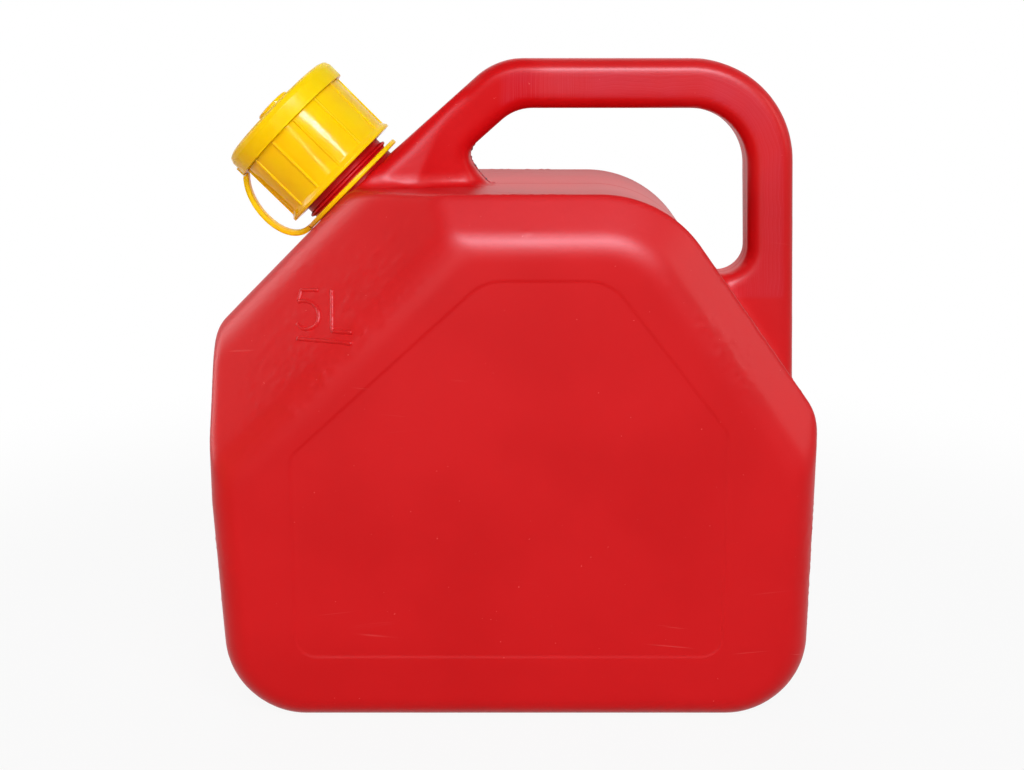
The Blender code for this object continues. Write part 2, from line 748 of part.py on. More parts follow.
def make_ring(parts, material):
    soft = RING_THICKNESS / 5
    bottom = CLEARANCE
    top = CLEARANCE + RING_THICKNESS
    profile = [
        (RING_INNER_RADIUS, top),
        (RING_RADIUS - soft, top),
        (RING_RADIUS, top - soft),
        (RING_RADIUS, bottom + soft),
        (RING_RADIUS - soft, bottom),
        (RING_INNER_RADIUS, bottom),
    ]
    ring = turned("tether_ring", profile, parts, closed=True)
    shade(ring, material)
    return ring


def strap_hood_radius():
    """Where the strap hangs from the hood, clear of the cap's ribs and rim, which turn beside it."""
    return max(CAP_RADIUS + RIB_PROUD, CAP_RIM_RADIUS) + CLEARANCE + STRAP_THICKNESS / 2


def strap_path():
    """The strap's centre line in the neck's frame, from the ring round to the hood's edge."""
    ring_end = Vector((-RING_RADIUS - CLEARANCE, CLEARANCE + RING_THICKNESS / 2))
    hood_end = Vector((-strap_hood_radius(), HOOD_BOTTOM - CLEARANCE))
    ring_way = Vector((-math.cos(STRAP_RING_LEAN), math.sin(STRAP_RING_LEAN)))
    hood_way = Vector((-math.sin(STRAP_HOOD_LEAN), -math.cos(STRAP_HOOD_LEAN)))
    first = ring_end + ring_way * STRAP_RING_PULL
    second = hood_end + hood_way * STRAP_HOOD_PULL
    points = []
    for k in range(STRAP_STEPS + 1):
        t = k / STRAP_STEPS
        s = 1 - t
        points.append(ring_end * s**3 + first * 3 * s * s * t + second * 3 * s * t * t + hood_end * t**3)
    return points


def make_strap(parts, material):
    path = strap_path()
    rings = []
    for k, point in enumerate(path):
        way = (path[min(k + 1, len(path) - 1)] - path[max(k - 1, 0)]).normalized()
        if k == 0:
            way = Vector((-1, 0))
        if k == len(path) - 1:
            way = Vector((0, 1))
        out = Vector((-way.y, way.x)) * STRAP_THICKNESS / 2
        side = STRAP_WIDTH / 2
        chamfer = STRAP_THICKNESS / 4
        section = [
            (1, side - chamfer),
            (1, chamfer - side),
            (0.5, -side),
            (-0.5, -side),
            (-1, chamfer - side),
            (-1, side - chamfer),
            (-0.5, side),
            (0.5, side),
        ]
        rings.append([Vector((point.x + out.x * u, v, point.y + out.y * u)) for u, v in section])
    strap = loft("tether_strap", rings, parts)
    strap.matrix_world = NECK_FRAME
    shade(strap, material)
    return strap


def main():
    clear_scene()
    parts = new_collection("plastic_jerrycan")
    helpers = new_collection("cutters")
    helpers.hide_render = True
    red = new_material("red_polyethylene", (0.60, 0.015, 0.015), 0.38)
    yellow = new_material("yellow_polypropylene", (0.92, 0.55, 0.01), 0.25)
    soft_yellow = new_material("yellow_polyethylene", (0.90, 0.52, 0.01), 0.30)
    rubber = new_material("black_rubber", (0.02, 0.02, 0.02), 0.7)
    make_can_body(parts, helpers, red)
    make_screw_cap(parts, helpers, yellow)
    make_cap_seal(parts, rubber)
    make_hood(parts, helpers, soft_yellow)
    make_strap(parts, soft_yellow)
    make_ring(parts, soft_yellow)


main()
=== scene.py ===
"""Dressed model of a plastic jerrycan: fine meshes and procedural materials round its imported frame.

Metres, +Z up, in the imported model's frame. X runs along the broad faces, from the neck to the
back of the handle, and Y is the depth. Pieces round the neck are drawn in the neck's own frame:
its origin is where the neck leaves the slope, local Z runs out of the mouth, and local -X points
down the slope.
"""

import math
from contextlib import contextmanager

import bmesh
import bpy
from mathutils import Matrix, Vector, noise
from mathutils.bvhtree import BVHTree


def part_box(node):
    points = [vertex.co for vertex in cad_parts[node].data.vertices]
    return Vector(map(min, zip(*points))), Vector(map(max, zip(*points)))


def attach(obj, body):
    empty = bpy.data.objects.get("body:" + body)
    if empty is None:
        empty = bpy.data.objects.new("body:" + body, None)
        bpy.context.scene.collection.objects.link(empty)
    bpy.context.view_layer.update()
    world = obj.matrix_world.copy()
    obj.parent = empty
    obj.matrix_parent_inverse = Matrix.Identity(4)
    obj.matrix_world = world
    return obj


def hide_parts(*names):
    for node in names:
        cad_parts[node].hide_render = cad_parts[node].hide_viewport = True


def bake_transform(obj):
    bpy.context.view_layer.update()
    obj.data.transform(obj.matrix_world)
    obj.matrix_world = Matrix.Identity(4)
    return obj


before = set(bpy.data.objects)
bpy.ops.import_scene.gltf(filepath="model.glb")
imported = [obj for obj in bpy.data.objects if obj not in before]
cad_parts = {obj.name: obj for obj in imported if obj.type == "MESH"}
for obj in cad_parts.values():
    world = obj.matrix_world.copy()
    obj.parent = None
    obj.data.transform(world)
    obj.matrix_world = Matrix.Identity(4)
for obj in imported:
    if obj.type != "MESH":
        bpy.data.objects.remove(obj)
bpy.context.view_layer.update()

# Tank
BODY_WIDTH = 0.2447
BODY_DEPTH = 0.138
TOP_HEIGHT = 0.213
WALL = 0.0018
WIDEST_HEIGHT = 0.090
NECK_SIDE_TAPER = 0.0046
BACK_SIDE_TAPER = 0.0012
HIGH_TAPER = 0.0003
FOOT_RADIUS = 0.032
BACK_FOOT_HEIGHT = 0.1240
BACK_TOP_X = 0.0585
BACK_FOOT_RADIUS = 0.022
BACK_TOP_RADIUS = 0.049
SIDE_DRAFT = 0.0012
SIDE_EDGE_RADIUS = 0.012
BASE_EDGE_RADIUS = 0.009
DISH = 0.0012
CREST_DEPTH = 0.057
SHOULDER_DROP = 0.018
NECK_TILT = math.radians(45)
NECK_FOOT_HEIGHT = 0.15545
NECK_FOOT_RADIUS = 0.015
NECK_TOP_RADIUS = 0.012
FACET_START = 0.040
FACET_DROP = 0.0415

# Panels
PANEL_SINK = 0.00025
PANEL_LEFT = -0.0885
PANEL_RIGHT = 0.0848
PANEL_BOTTOM = 0.0268
PANEL_LEFT_TOP = 0.1115
PANEL_RIGHT_TOP = 0.121
PANEL_TOP = 0.1816
PANEL_TOP_LEFT_X = -0.0115
PANEL_TOP_RIGHT_X = 0.0375
PANEL_RADII = (0.009, 0.009, 0.007, 0.019, 0.019, 0.007)
BASE_SINK = 0.0012
BASE_PANEL_WIDTH = 0.160
BASE_PANEL_DEPTH = 0.088
BASE_PANEL_RADIUS = 0.016

# Handle
HANDLE_TOP = 0.2633
HANDLE_BACK = 0.1203
HANDLE_BACK_LEAN = 0.0057
HANDLE_BAR = 0.0200
HANDLE_BACK_LEG = 0.0190
HANDLE_THICKNESS = 0.025
HANDLE_EDGE_RADIUS = 0.006
HANDLE_RISE = math.radians(41.2)
HANDLE_FRONT_RADIUS = 0.030
HANDLE_BACK_RADIUS = 0.043
HANDLE_FOOT_Z = 0.110
HANDLE_ROOT_START = 0.004
HANDLE_ROOT_SINK = 0.023
GRIP_LEFT_X = -0.0211
GRIP_FOOT_LEAN = math.radians(48)
GRIP_FLOOR = 0.1744
GRIP_CORNER_RADIUS = 0.005
GRIP_FRONT_RADIUS = 0.019
GRIP_BACK_RADIUS = 0.024
GRIP_FLOOR_RADIUS = 0.011

# Neck
NECK_HEIGHT_ON_SLOPE = 0.2107
NECK_RADIUS = 0.0205
NECK_BORE_RADIUS = 0.018
NECK_LENGTH = 0.038
NECK_LIP_RADIUS = 0.0006
BOSS_RADIUS = 0.0258
BOSS_FOOT_RADIUS = 0.0300
BOSS_DEPTH = 0.022
BOSS_SINK = 0.0002
BEAD_RADIUS = 0.0218
BEAD_START = 0.0030
BEAD_HEIGHT = 0.0020
BEAD_SLANT = 0.0006

# Thread
PITCH = 0.005
THREAD_SIZE = 0.0013
NECK_THREAD_PROUD = 0.0010
NECK_THREAD_START = 0.0230
NECK_THREAD_TURNS = 2.25
CAP_THREAD_INSET = 0.0008
CAP_THREAD_TURNS = 1.5
THREAD_RUNOUT = 0.15

# Screw cap
CAP_BOTTOM = 0.0073
CAP_RADIUS = 0.02645
CAP_INNER_RADIUS = 0.0240
CAP_TOP_THICKNESS = 0.0023
CAP_RIM_RADIUS = 0.0280
CAP_RIM_HEIGHT = 0.0032
CAP_RIM_EDGE = 0.0012
CAP_EDGE = 0.0015
RIB_COUNT = 13
RIB_WIDTH = 0.0015
RIB_PROUD = 0.0006
RIB_TURN = math.radians(-9)
STUD_RADIUS = 0.0050
STUD_HEAD_RADIUS = 0.00785
STUD_HEAD_HEIGHT = 0.0025
STUD_HEAD_EDGE = 0.0009
SEAL_THICKNESS = 0.0015

# Tether
HOOD_WALL = 0.0021
HOOD_TOP_THICKNESS = 0.0024
HOOD_DEPTH = 0.0093
HOOD_EDGE = 0.0030
HOOD_EDGE_START = 0.0009
RING_RADIUS = 0.0254
RING_INNER_RADIUS = 0.0210
RING_THICKNESS = 0.0020
STRAP_THICKNESS = 0.0023
STRAP_WIDTH = 0.0055
STRAP_RING_PULL = 0.0130
STRAP_RING_LEAN = math.radians(1)
STRAP_HOOD_PULL = 0.0140
STRAP_HOOD_LEAN = math.radians(50)
LUG_HEIGHT = 0.0040
CLEARANCE = 0.0003

# Softness of the moulded skin, which the solids have in plain form
SHOULDER_SOFT_RADIUS = 0.022
FACET_SOFT_RADIUS = 0.030
CREST_SOFT = 0.0008  # half width of the rounding along the top's crests
SLOPE_SOFT = 0.0075  # and along the edges of the neck's slope
ROOT_FILLET = 0.0035
FAN_ROOT_FILLET = 0.0040
FAN_FILLET = 0.0060
FAN_ROOF_SOFT = 0.0070
BOSS_FILLET = 0.0030
PANEL_STEP = 0.0012
PARTING_PROUD = 0.00015
PARTING_WIDTH = 0.0009
WAVE = 0.00030  # how far the cooled walls sink in, unevenly
WAVE_SCALES = (17, 41)  # of its coarse and its fine swells
WAVE_START = 0.030  # it begins at this depth, and is full this much deeper
WAVE_REACH = 0.020
FOOT_REACH = 0.010  # waves and the parting line fade out this near the floor

# The front leg's root, which fans out to the neck's platform: half width at places on the slope, with
# the depth that its side reaches there, and half width at places on the top
FAN_ROOF = ((0.060, 0.0086, 0.002), (0.022, 0.0208, 0.017), (0.004, 0.0265, 0.017))
FAN_FOOT = ((-0.0185, 0.0120), (-0.0334, 0.0134), (-0.0460, 0.0190), (-0.0570, 0.0240))
FAN_HEADROOM = 0.017  # its sides go this far over the slope, for its roof to be cut off them
FAN_DROP = 0.001  # its rough form stays this far under the slope
FAN_SINK = 0.004
FAN_REACH = 0.012  # how far round itself the root is looked for
FAN_PASSES = 4  # how often the root's skin is evened out

# Fineness
VOXEL = 0.0015
ROUND_STEPS = 128
KNEE_STEPS = 18
EDGE_STEPS = 10
THREAD_STEPS = 72
REFINE_REACH = 0.0020  # faces this near a fine line are cut smaller
CREST_ZONE = 0.008
SNAP = 0.00046  # vertices this near a straight line are moved onto it
FLAT_ZONE = 0.0004  # and those this near a flat face are sunk with it
HOLE_REACH = 0.004  # how far round the neck's root plane the skin opens into the neck
PROBE = Vector((0.0123, 0.0211, 1)).normalized()
SKIN_DRAWS = 3  # how often the skin's points are drawn towards the field's surface
LINE_DRAWS = 4  # and those of the parting line's flash
GRIP_CORNER_STEPS = 12
SECTION_STEPS = 12
RIB_STEPS = 16
RIB_FOOT = 0.0006  # a rib's crest is rounded from this deep in the skirt

# Masks of the handle's flats: where they can lie, and how they fade out at its edges
MASK_MARGIN = 0.002
MASK_LEFT_X = -0.075
MASK_LOW_Z = 0.165
MASK_FACE = (0.0012, 0.0008)
MASK_EDGE = (0.0020, 0.0015)

# Marks on the skin
PINCH_RUN = 0.0175
PINCH_START = 0.003
PINCH_STEP = 0.0004
PINCH_WIDTH = 0.0004
PINCH_PROUD = 0.00085
PINCH_SINK = 0.0002
PINCH_GRAIN = 900
PINCH_FADE = 6
MARK_WIDTH = 0.0019
MARK_PROUD = 0.00052
MARK_END = 0.35  # the share of its height at a stroke's end
MARK_PLANE = -0.0585  # the strokes are given where their sight lines cross this depth
MARK_SINK = 0.0002
MARK_STEP = 0.0005
# Strokes of the capacity mark, as X and Z in millimetres
MARK_STROKES = (
    ((-75.9, 176.0), (-82.6, 175.9), (-83.9, 171.7)),
    (
        *((-84.0, 171.2), (-82.9, 171.6), (-80.6, 171.6), (-78.6, 170.9), (-76.8, 169.2), (-76.1, 167.0)),
        *((-76.1, 165.0), (-76.6, 163.2), (-77.7, 161.7), (-79.2, 160.7), (-81.0, 160.3), (-82.8, 160.7)),
        (-84.8, 162.9),
    ),
    ((-70.8, 176.2), (-71.0, 159.5), (-63.2, 159.1)),
    ((-85.0, 156.6), (-63.2, 154.7)),
)

# Studio
FOCAL = 1544.6  # in pixels of the 1024 wide picture
CAMERA_PLACE = Vector((-0.0005, -0.6532, 0.2743))
CAMERA_PITCH = math.radians(12.91)
FLOOR_NEAR = 0.25  # the floor turns to plain white between these distances from the object
FLOOR_FAR = 0.60
FLOOR_WHITE = 0.92
FLOOR_PAPER = (0.45, 0.45, 0.45, 1)
WHITE = (1, 1, 1, 1)
ROOM_STRENGTH = 0.20

HALF_WIDTH = BODY_WIDTH / 2
HALF_DEPTH = BODY_DEPTH / 2
NECK_TOP_X = -HALF_WIDTH + HIGH_TAPER + (TOP_HEIGHT - NECK_FOOT_HEIGHT) / math.tan(NECK_TILT)
NECK_ROOT_X = NECK_TOP_X - (TOP_HEIGHT - NECK_HEIGHT_ON_SLOPE) / math.tan(NECK_TILT)
NECK_ROOT = Vector((NECK_ROOT_X, 0, NECK_HEIGHT_ON_SLOPE))
NECK_FRAME = Matrix.Translation(NECK_ROOT) @ Matrix.Rotation(-NECK_TILT, 4, "Y")
SEAL_BOTTOM = NECK_LENGTH + CLEARANCE
CAP_CEILING = SEAL_BOTTOM + SEAL_THICKNESS + CLEARANCE
CAP_TOP = CAP_CEILING + CAP_TOP_THICKNESS
HOOD_CEILING = CAP_TOP + CLEARANCE
HOOD_TOP = HOOD_CEILING + HOOD_TOP_THICKNESS
HOOD_INNER_RADIUS = CAP_RADIUS + CLEARANCE
HOOD_RADIUS = HOOD_INNER_RADIUS + HOOD_WALL
HOOD_BOTTOM = HOOD_TOP - HOOD_DEPTH
CAP_THREAD_START = NECK_THREAD_START + PITCH / 2
FAN_END_X = FAN_FOOT[0][0] + FAN_REACH
LEG_WAY = Vector((math.cos(HANDLE_RISE), math.sin(HANDLE_RISE)))


# Outlines and meshes


def crossing(point_a, way_a, point_b, way_b):
    across = way_a.x * way_b.y - way_a.y * way_b.x
    gap = point_b - point_a
    return point_a + way_a * ((gap.x * way_b.y - gap.y * way_b.x) / across)


def moved_in(corners, insets):
    """The corners of an anticlockwise outline after edge i, from corner i to the next, moves in."""
    count = len(corners)
    lines = []
    for i in range(count):
        way = (corners[(i + 1) % count] - corners[i]).normalized()
        lines.append((corners[i] + Vector((-way.y, way.x)) * insets[i], way))
    return [crossing(*lines[i - 1], *lines[i]) for i in range(count)]


def rounded(corners, radii, steps):
    """The outline with an arc at each corner. A radius gives way where its edges are too short."""
    count = len(corners)
    tangents = []
    for i in range(count):
        back = (corners[i - 1] - corners[i]).normalized()
        ahead = (corners[(i + 1) % count] - corners[i]).normalized()
        tangents.append(radii[i] / math.tan(back.angle(ahead) / 2))
    outline = []
    for i in range(count):
        before = corners[i - 1]
        here = corners[i]
        after = corners[(i + 1) % count]
        room_before = (before - here).length / max(tangents[i - 1] + tangents[i], 1e-9)
        room_after = (after - here).length / max(tangents[i] + tangents[(i + 1) % count], 1e-9)
        tangent = tangents[i] * min(1, 0.98 * room_before, 0.98 * room_after)
        if steps[i]:
            back = (before - here).normalized()
            ahead = (after - here).normalized()
            outline += arc(here, back, ahead, tangent, steps[i])
        else:
            outline.append(here.copy())
    return outline


def arc(corner, back, ahead, tangent, steps):
    """Points of the arc that touches both edges at this distance from their corner."""
    half = back.angle(ahead) / 2
    centre = corner + (back + ahead).normalized() * (tangent / math.cos(half))
    start = corner + back * tangent - centre
    side = 1 if back.x * ahead.y - back.y * ahead.x < 0 else -1
    points = []
    for k in range(steps + 1):
        angle = side * (math.pi - 2 * half) * k / steps
        x = start.x * math.cos(angle) - start.y * math.sin(angle)
        y = start.x * math.sin(angle) + start.y * math.cos(angle)
        points.append(centre + Vector((x, y)))
    return points


def new_object(name, mesh, matrix=None):
    thing = bpy.data.objects.new(name, mesh)
    bpy.context.scene.collection.objects.link(thing)
    if matrix is not None:
        mesh.transform(matrix)
    return thing


@contextmanager
def reshaped(mesh):
    """The mesh as it can be edited, which is written back at the end."""
    shape = bmesh.new()
    shape.from_mesh(mesh)
    yield shape
    shape.to_mesh(mesh)
    shape.free()


def mesh_of(name, points, faces):
    """A mesh with its faces turned outwards."""
    mesh = bpy.data.meshes.new(name)
    mesh.from_pydata([tuple(point) for point in points], [], faces)
    with reshaped(mesh) as shape:
        bmesh.ops.recalc_face_normals(shape, faces=shape.faces[:])
    return mesh


def loft(name, rings, loop=False):
    """A skin through rings of equally many points, closed at its ends or by a loop."""
    count = len(rings[0])
    points = [point for ring in rings for point in ring]
    faces = []
    spans = len(rings) if loop else len(rings) - 1
    for r in range(spans):
        near = r * count
        far = (r + 1) % len(rings) * count
        for i in range(count):
            j = (i + 1) % count
            faces.append((near + i, near + j, far + j, far + i))
    if not loop:
        faces.append(tuple(range(count)))
        faces.append(tuple(range(len(points) - count, len(points))))
    return mesh_of(name, points, faces)


def oblong(left, right, half):
    """Corners of a rectangle that lies evenly about the first axis."""
    return [Vector((left, -half)), Vector((right, -half)), Vector((right, half)), Vector((left, half))]


def upright(outline, y):
    return [Vector((point.x, y, point.y)) for point in outline]


def turned(name, profile, steps=ROUND_STEPS):
    """A closed profile of (radius, height) pairs turned about the neck's axis, still in its frame."""
    rings = []
    for k in range(steps):
        angle = 2 * math.pi * k / steps
        rings.append([Vector((r * math.cos(angle), r * math.sin(angle), z)) for r, z in profile])
    mesh = loft(name, rings, loop=True)
    with reshaped(mesh) as shape:
        bmesh.ops.remove_doubles(shape, verts=shape.verts[:], dist=1e-6)
        bmesh.ops.recalc_face_normals(shape, faces=shape.faces[:])
    return mesh


def soft_profile(points, radii, steps=5):
    """A closed profile with a small arc at each corner that has a radius."""
    outline = rounded([Vector(p) for p in points], radii, [steps if r else 0 for r in radii])
    return [(p.x, p.y) for p in outline]


def applied(thing):
    """Bakes the modifiers into the mesh."""
    bpy.context.view_layer.update()
    graph = bpy.context.evaluated_depsgraph_get()
    mesh = bpy.data.meshes.new_from_object(thing.evaluated_get(graph))
    thing.modifiers.clear()
    thing.data = mesh
    return thing


def boolean(thing, operation, tool):
    modifier = thing.modifiers.new(operation, "BOOLEAN")
    modifier.operation = operation
    modifier.solver = "EXACT"
    modifier.object = tool
    applied(thing)
    bpy.data.objects.remove(tool, do_unlink=True)


def shade(thing, degrees=35):
    thing.data.shade_smooth()
    thing.data.set_sharp_from_angle(angle=math.radians(degrees))


# The can's form


def rounding(depth, half, radius):
    """How far an edge of this radius has drawn in at this depth."""
    past = max(0, depth - (half - radius))
    return radius - math.sqrt(max(0, radius**2 - past**2))


def bevel(depth, half, start, drop, knee, soft):
    """How far a facet that starts here has cut in, soft at its start and with a knee at the broad face."""
    slope = drop / (half - start)
    lean = math.atan(slope)
    tangent = knee * math.tan((math.pi / 2 - lean) / 2)
    if depth <= start - soft:
        return 0
    if depth < start + soft:
        return slope * (depth - start + soft) ** 2 / (4 * soft)
    if depth <= half - tangent * math.cos(lean):
        return (depth - start) * slope
    past = depth - (half - knee)
    return drop + tangent - math.sqrt(max(0, knee**2 - past**2))


def tank_corners():
    return [
        Vector((-HALF_WIDTH + NECK_SIDE_TAPER, 0)),
        Vector((HALF_WIDTH - BACK_SIDE_TAPER, 0)),
        Vector((HALF_WIDTH, BACK_FOOT_HEIGHT)),
        Vector((BACK_TOP_X, TOP_HEIGHT)),
        Vector((NECK_TOP_X, TOP_HEIGHT)),
        Vector((-HALF_WIDTH + HIGH_TAPER, NECK_FOOT_HEIGHT)),
        Vector((-HALF_WIDTH, WIDEST_HEIGHT)),
    ]


def tank_insets(depth):
    """The inset of each edge of the tank's outline at this depth from the parting plane."""
    base = rounding(depth, HALF_DEPTH, BASE_EDGE_RADIUS)
    side = SIDE_DRAFT * depth / HALF_DEPTH + rounding(depth, HALF_DEPTH, SIDE_EDGE_RADIUS)
    dish = DISH * max(0, 1 - (depth / CREST_DEPTH) ** 2)
    top = dish + bevel(depth, HALF_DEPTH, CREST_DEPTH, SHOULDER_DROP, SHOULDER_SOFT_RADIUS, CREST_SOFT)
    facet = bevel(depth, HALF_DEPTH, FACET_START, FACET_DROP, FACET_SOFT_RADIUS, SLOPE_SOFT)
    return [base, side, top, top, facet, side, side]


def tank_mesh():
    radii = [FOOT_RADIUS, FOOT_RADIUS, BACK_FOOT_RADIUS, BACK_TOP_RADIUS]
    radii += [NECK_TOP_RADIUS, NECK_FOOT_RADIUS, FOOT_RADIUS]
    steps = [40, 40, 20, 40, 20, 20, 12]
    depths = [(CREST_DEPTH - CREST_SOFT) * k / 50 for k in range(50)]
    depths += [CREST_DEPTH - CREST_SOFT, CREST_DEPTH - CREST_SOFT / 2]
    depths += [
        CREST_DEPTH + (HALF_DEPTH - CREST_DEPTH) * math.sin(math.pi / 2 * k / KNEE_STEPS)
        for k in range(KNEE_STEPS + 1)
    ]
    rings = []
    for y in mirrored(depths):
        insets = tank_insets(abs(y))
        corners = moved_in(tank_corners(), insets)
        drawn = [max(r - min(insets[i - 1], insets[i]), NECK_TOP_RADIUS) for i, r in enumerate(radii)]
        rings.append(upright(rounded(corners, drawn, steps), y))
    return loft("tank", rings)


def mirrored(depths):
    return [-depth for depth in reversed(depths[1:])] + depths


def handle_corners():
    """The handle's plate. Its lower edges lie inside the tank."""
    root = Vector((NECK_ROOT.x, NECK_ROOT.z)) + LEG_WAY * HANDLE_ROOT_START
    rise = (HANDLE_TOP - root.y) / math.tan(HANDLE_RISE)
    down = Vector((math.sin(NECK_TILT), -math.cos(NECK_TILT)))
    sunk = root + down * HANDLE_ROOT_SINK / math.cos(NECK_TILT)
    return [
        root,
        sunk,
        Vector((BACK_TOP_X - HANDLE_BAR, sunk.y)),
        Vector((HANDLE_BACK - HANDLE_THICKNESS, HANDLE_FOOT_Z)),
        Vector((HANDLE_BACK, HANDLE_FOOT_Z)),
        Vector((HANDLE_BACK - HANDLE_BACK_LEAN, HANDLE_TOP)),
        Vector((root.x + rise, HANDLE_TOP)),
    ]


def grip_corners():
    """The handle's opening. Where the tank lies under it, its edges run on inside the tank."""
    outer = handle_corners()
    widths = [HANDLE_BAR] * len(outer)
    widths[4] = HANDLE_BACK_LEG
    inner = moved_in(outer, widths)
    front = inner[6]
    back = inner[5]
    left = front - LEG_WAY * ((front.x - GRIP_LEFT_X) / LEG_WAY.x)
    floor = TOP_HEIGHT - HANDLE_EDGE_RADIUS * 2
    leg_way = inner[4] - back
    back_foot = back.x + leg_way.x * (GRIP_FLOOR - back.y) / leg_way.y
    return [
        left,
        Vector((left.x + (left.y - floor) / math.tan(GRIP_FOOT_LEAN), floor)),
        Vector((BACK_TOP_X - HANDLE_EDGE_RADIUS * 2, floor)),
        Vector((BACK_TOP_X + HANDLE_EDGE_RADIUS * 2, GRIP_FLOOR)),
        Vector((back_foot, GRIP_FLOOR)),
        back,
        front,
    ]


def handle_outline(inset=0.0):
    corners = moved_in(handle_corners(), [inset] * 7)
    radii = [0, 0, 0, 0, 0, HANDLE_BACK_RADIUS - inset, HANDLE_FRONT_RADIUS - inset]
    return rounded(corners, radii, [0, 0, 0, 0, 0, 40, 24])


def grip_outline(outset=0.0):
    corners = moved_in(grip_corners(), [-outset] * 7)
    sizes = [GRIP_CORNER_RADIUS, 0, 0, 0, GRIP_FLOOR_RADIUS, GRIP_BACK_RADIUS, GRIP_FRONT_RADIUS]
    steps = [GRIP_CORNER_STEPS, 0, 0, 0, 20, 30, 18]
    return rounded(corners, [size + outset if size else 0 for size in sizes], steps)


def handle_meshes():
    """The handle's plate and the body that its opening is cut with, which reaches far to both sides."""
    half = HANDLE_THICKNESS / 2
    depths = [0]
    for k in range(EDGE_STEPS + 1):
        turn = math.pi / 2 * k / EDGE_STEPS
        depths.append(half - HANDLE_EDGE_RADIUS + HANDLE_EDGE_RADIUS * math.sin(turn))
    outer_rings = []
    for y in mirrored(depths):
        outer_rings.append(upright(handle_outline(rounding(abs(y), half, HANDLE_EDGE_RADIUS)), y))
    grip_rings = []
    for y in mirrored(depths + [BODY_DEPTH]):
        grip_rings.append(upright(grip_outline(rounding(min(abs(y), half), half, HANDLE_EDGE_RADIUS)), y))
    return loft("handle", outer_rings), loft("grip", grip_rings)


def fan_mesh(over):
    """The front leg's flared root, as the hull of a few points. Its roof stands this far over the slope."""
    points = []
    for side in (-1, 1):
        for u, y, depth in FAN_ROOF:
            points.append(NECK_FRAME @ Vector((u, side * y, over)))
            points.append(NECK_FRAME @ Vector((u, side * y, -depth)))
        for x, y in FAN_FOOT:
            points.append(Vector((x, side * y, TOP_HEIGHT - FAN_SINK)))
    mesh = bpy.data.meshes.new("fan")
    with reshaped(mesh) as shape:
        for point in points:
            shape.verts.new(point)
        hull = bmesh.ops.convex_hull(shape, input=shape.verts[:])
        loose = [part for part in hull["geom_interior"] if isinstance(part, bmesh.types.BMVert)]
        bmesh.ops.delete(shape, geom=loose, context="VERTS")
        bmesh.ops.recalc_face_normals(shape, faces=shape.faces[:])
    return mesh


def boss_mesh():
    side = [(BOSS_RADIUS, -BOSS_SINK), (BOSS_FOOT_RADIUS, -BOSS_DEPTH)]
    mesh = turned("boss", [(0, -BOSS_SINK), *side, (0, -BOSS_DEPTH)])
    mesh.transform(NECK_FRAME)
    return mesh


def tree_of(mesh):
    points = [vert.co.copy() for vert in mesh.vertices]
    return BVHTree.FromPolygons(points, [tuple(face.vertices) for face in mesh.polygons])


def inside_of(tree, point):
    """Whether a ray from the point leaves the closed mesh an odd number of times."""
    crossings = 0
    start = point
    while True:
        hit = tree.ray_cast(start, PROBE)[0]
        if hit is None:
            return crossings % 2 == 1
        crossings += 1
        start = hit + PROBE * 1e-6


def away_from(tree, point):
    """Signed distance to a closed mesh, and the way that it grows."""
    near, normal, _, gap = tree.find_nearest(point)
    if gap < 1e-6:
        return 0.0, normal
    offset = (point - near) / gap
    lift = offset.dot(normal)
    # Off an edge or a corner, one face's normal doesn't tell the side.
    outside = lift > 0 if abs(lift) > 0.9 else not inside_of(tree, point)
    return (gap, offset) if outside else (-gap, -offset)


def joined(one, other, reach):
    """The union of two fields, each a distance and the way that it grows, with a fillet between them."""
    d1, n1 = one
    d2, n2 = other
    if reach < 1e-5 or abs(d1 - d2) >= reach:
        return one if d1 < d2 else other
    share = 0.5 + 0.5 * (d2 - d1) / reach
    way = n2 * (1 - share) + n1 * share
    return d2 * (1 - share) + d1 * share - reach * share * (1 - share), way.normalized()


def corner_joined(one, other, reach):
    """The same, with no fillet where the two surfaces run alongside each other."""
    return joined(one, other, reach * min(1, max(0, 1 - one[1].dot(other[1]))))


def turned_out(one):
    return -one[0], -one[1]


def common(one, other, reach=0.0):
    """What two fields have in common, with a rounded edge."""
    return turned_out(joined(turned_out(one), turned_out(other), reach))


def below(plane_point, way, point):
    return (point - plane_point).dot(way), way


def skin_field(tank, handle, grip, fan, boss):
    out = Vector((-math.sin(NECK_TILT), 0, math.cos(NECK_TILT)))
    leg_out = Vector((-LEG_WAY.y, 0, LEG_WAY.x))
    leg_root = NECK_ROOT + Vector((LEG_WAY.x, 0, LEG_WAY.y)) * HANDLE_ROOT_START

    def field(point):
        upper = None
        roof = below(leg_root, leg_out, point)
        if abs(point.y) < FAN_ROOF[-1][1] + FAN_REACH and point.z > HANDLE_FOOT_Z:
            upper = common(away_from(handle, point), turned_out(away_from(grip, point)))
            if point.x < FAN_END_X:
                flare = common(away_from(fan, point), roof, FAN_ROOF_SOFT)
                upper = common(joined(upper, flare, FAN_FILLET), roof)
        if (point - NECK_ROOT).length < BOSS_FOOT_RADIUS + BOSS_DEPTH:
            platform = common(away_from(boss, point), roof, BOSS_FILLET)
            upper = corner_joined(upper, platform, BOSS_FILLET) if upper else platform
        result = away_from(tank, point)
        if upper:
            reach = FAN_ROOT_FILLET if point.x < FAN_END_X else ROOT_FILLET
            result = common(corner_joined(result, upper, reach), below(NECK_ROOT, out, point))
        return result

    return field


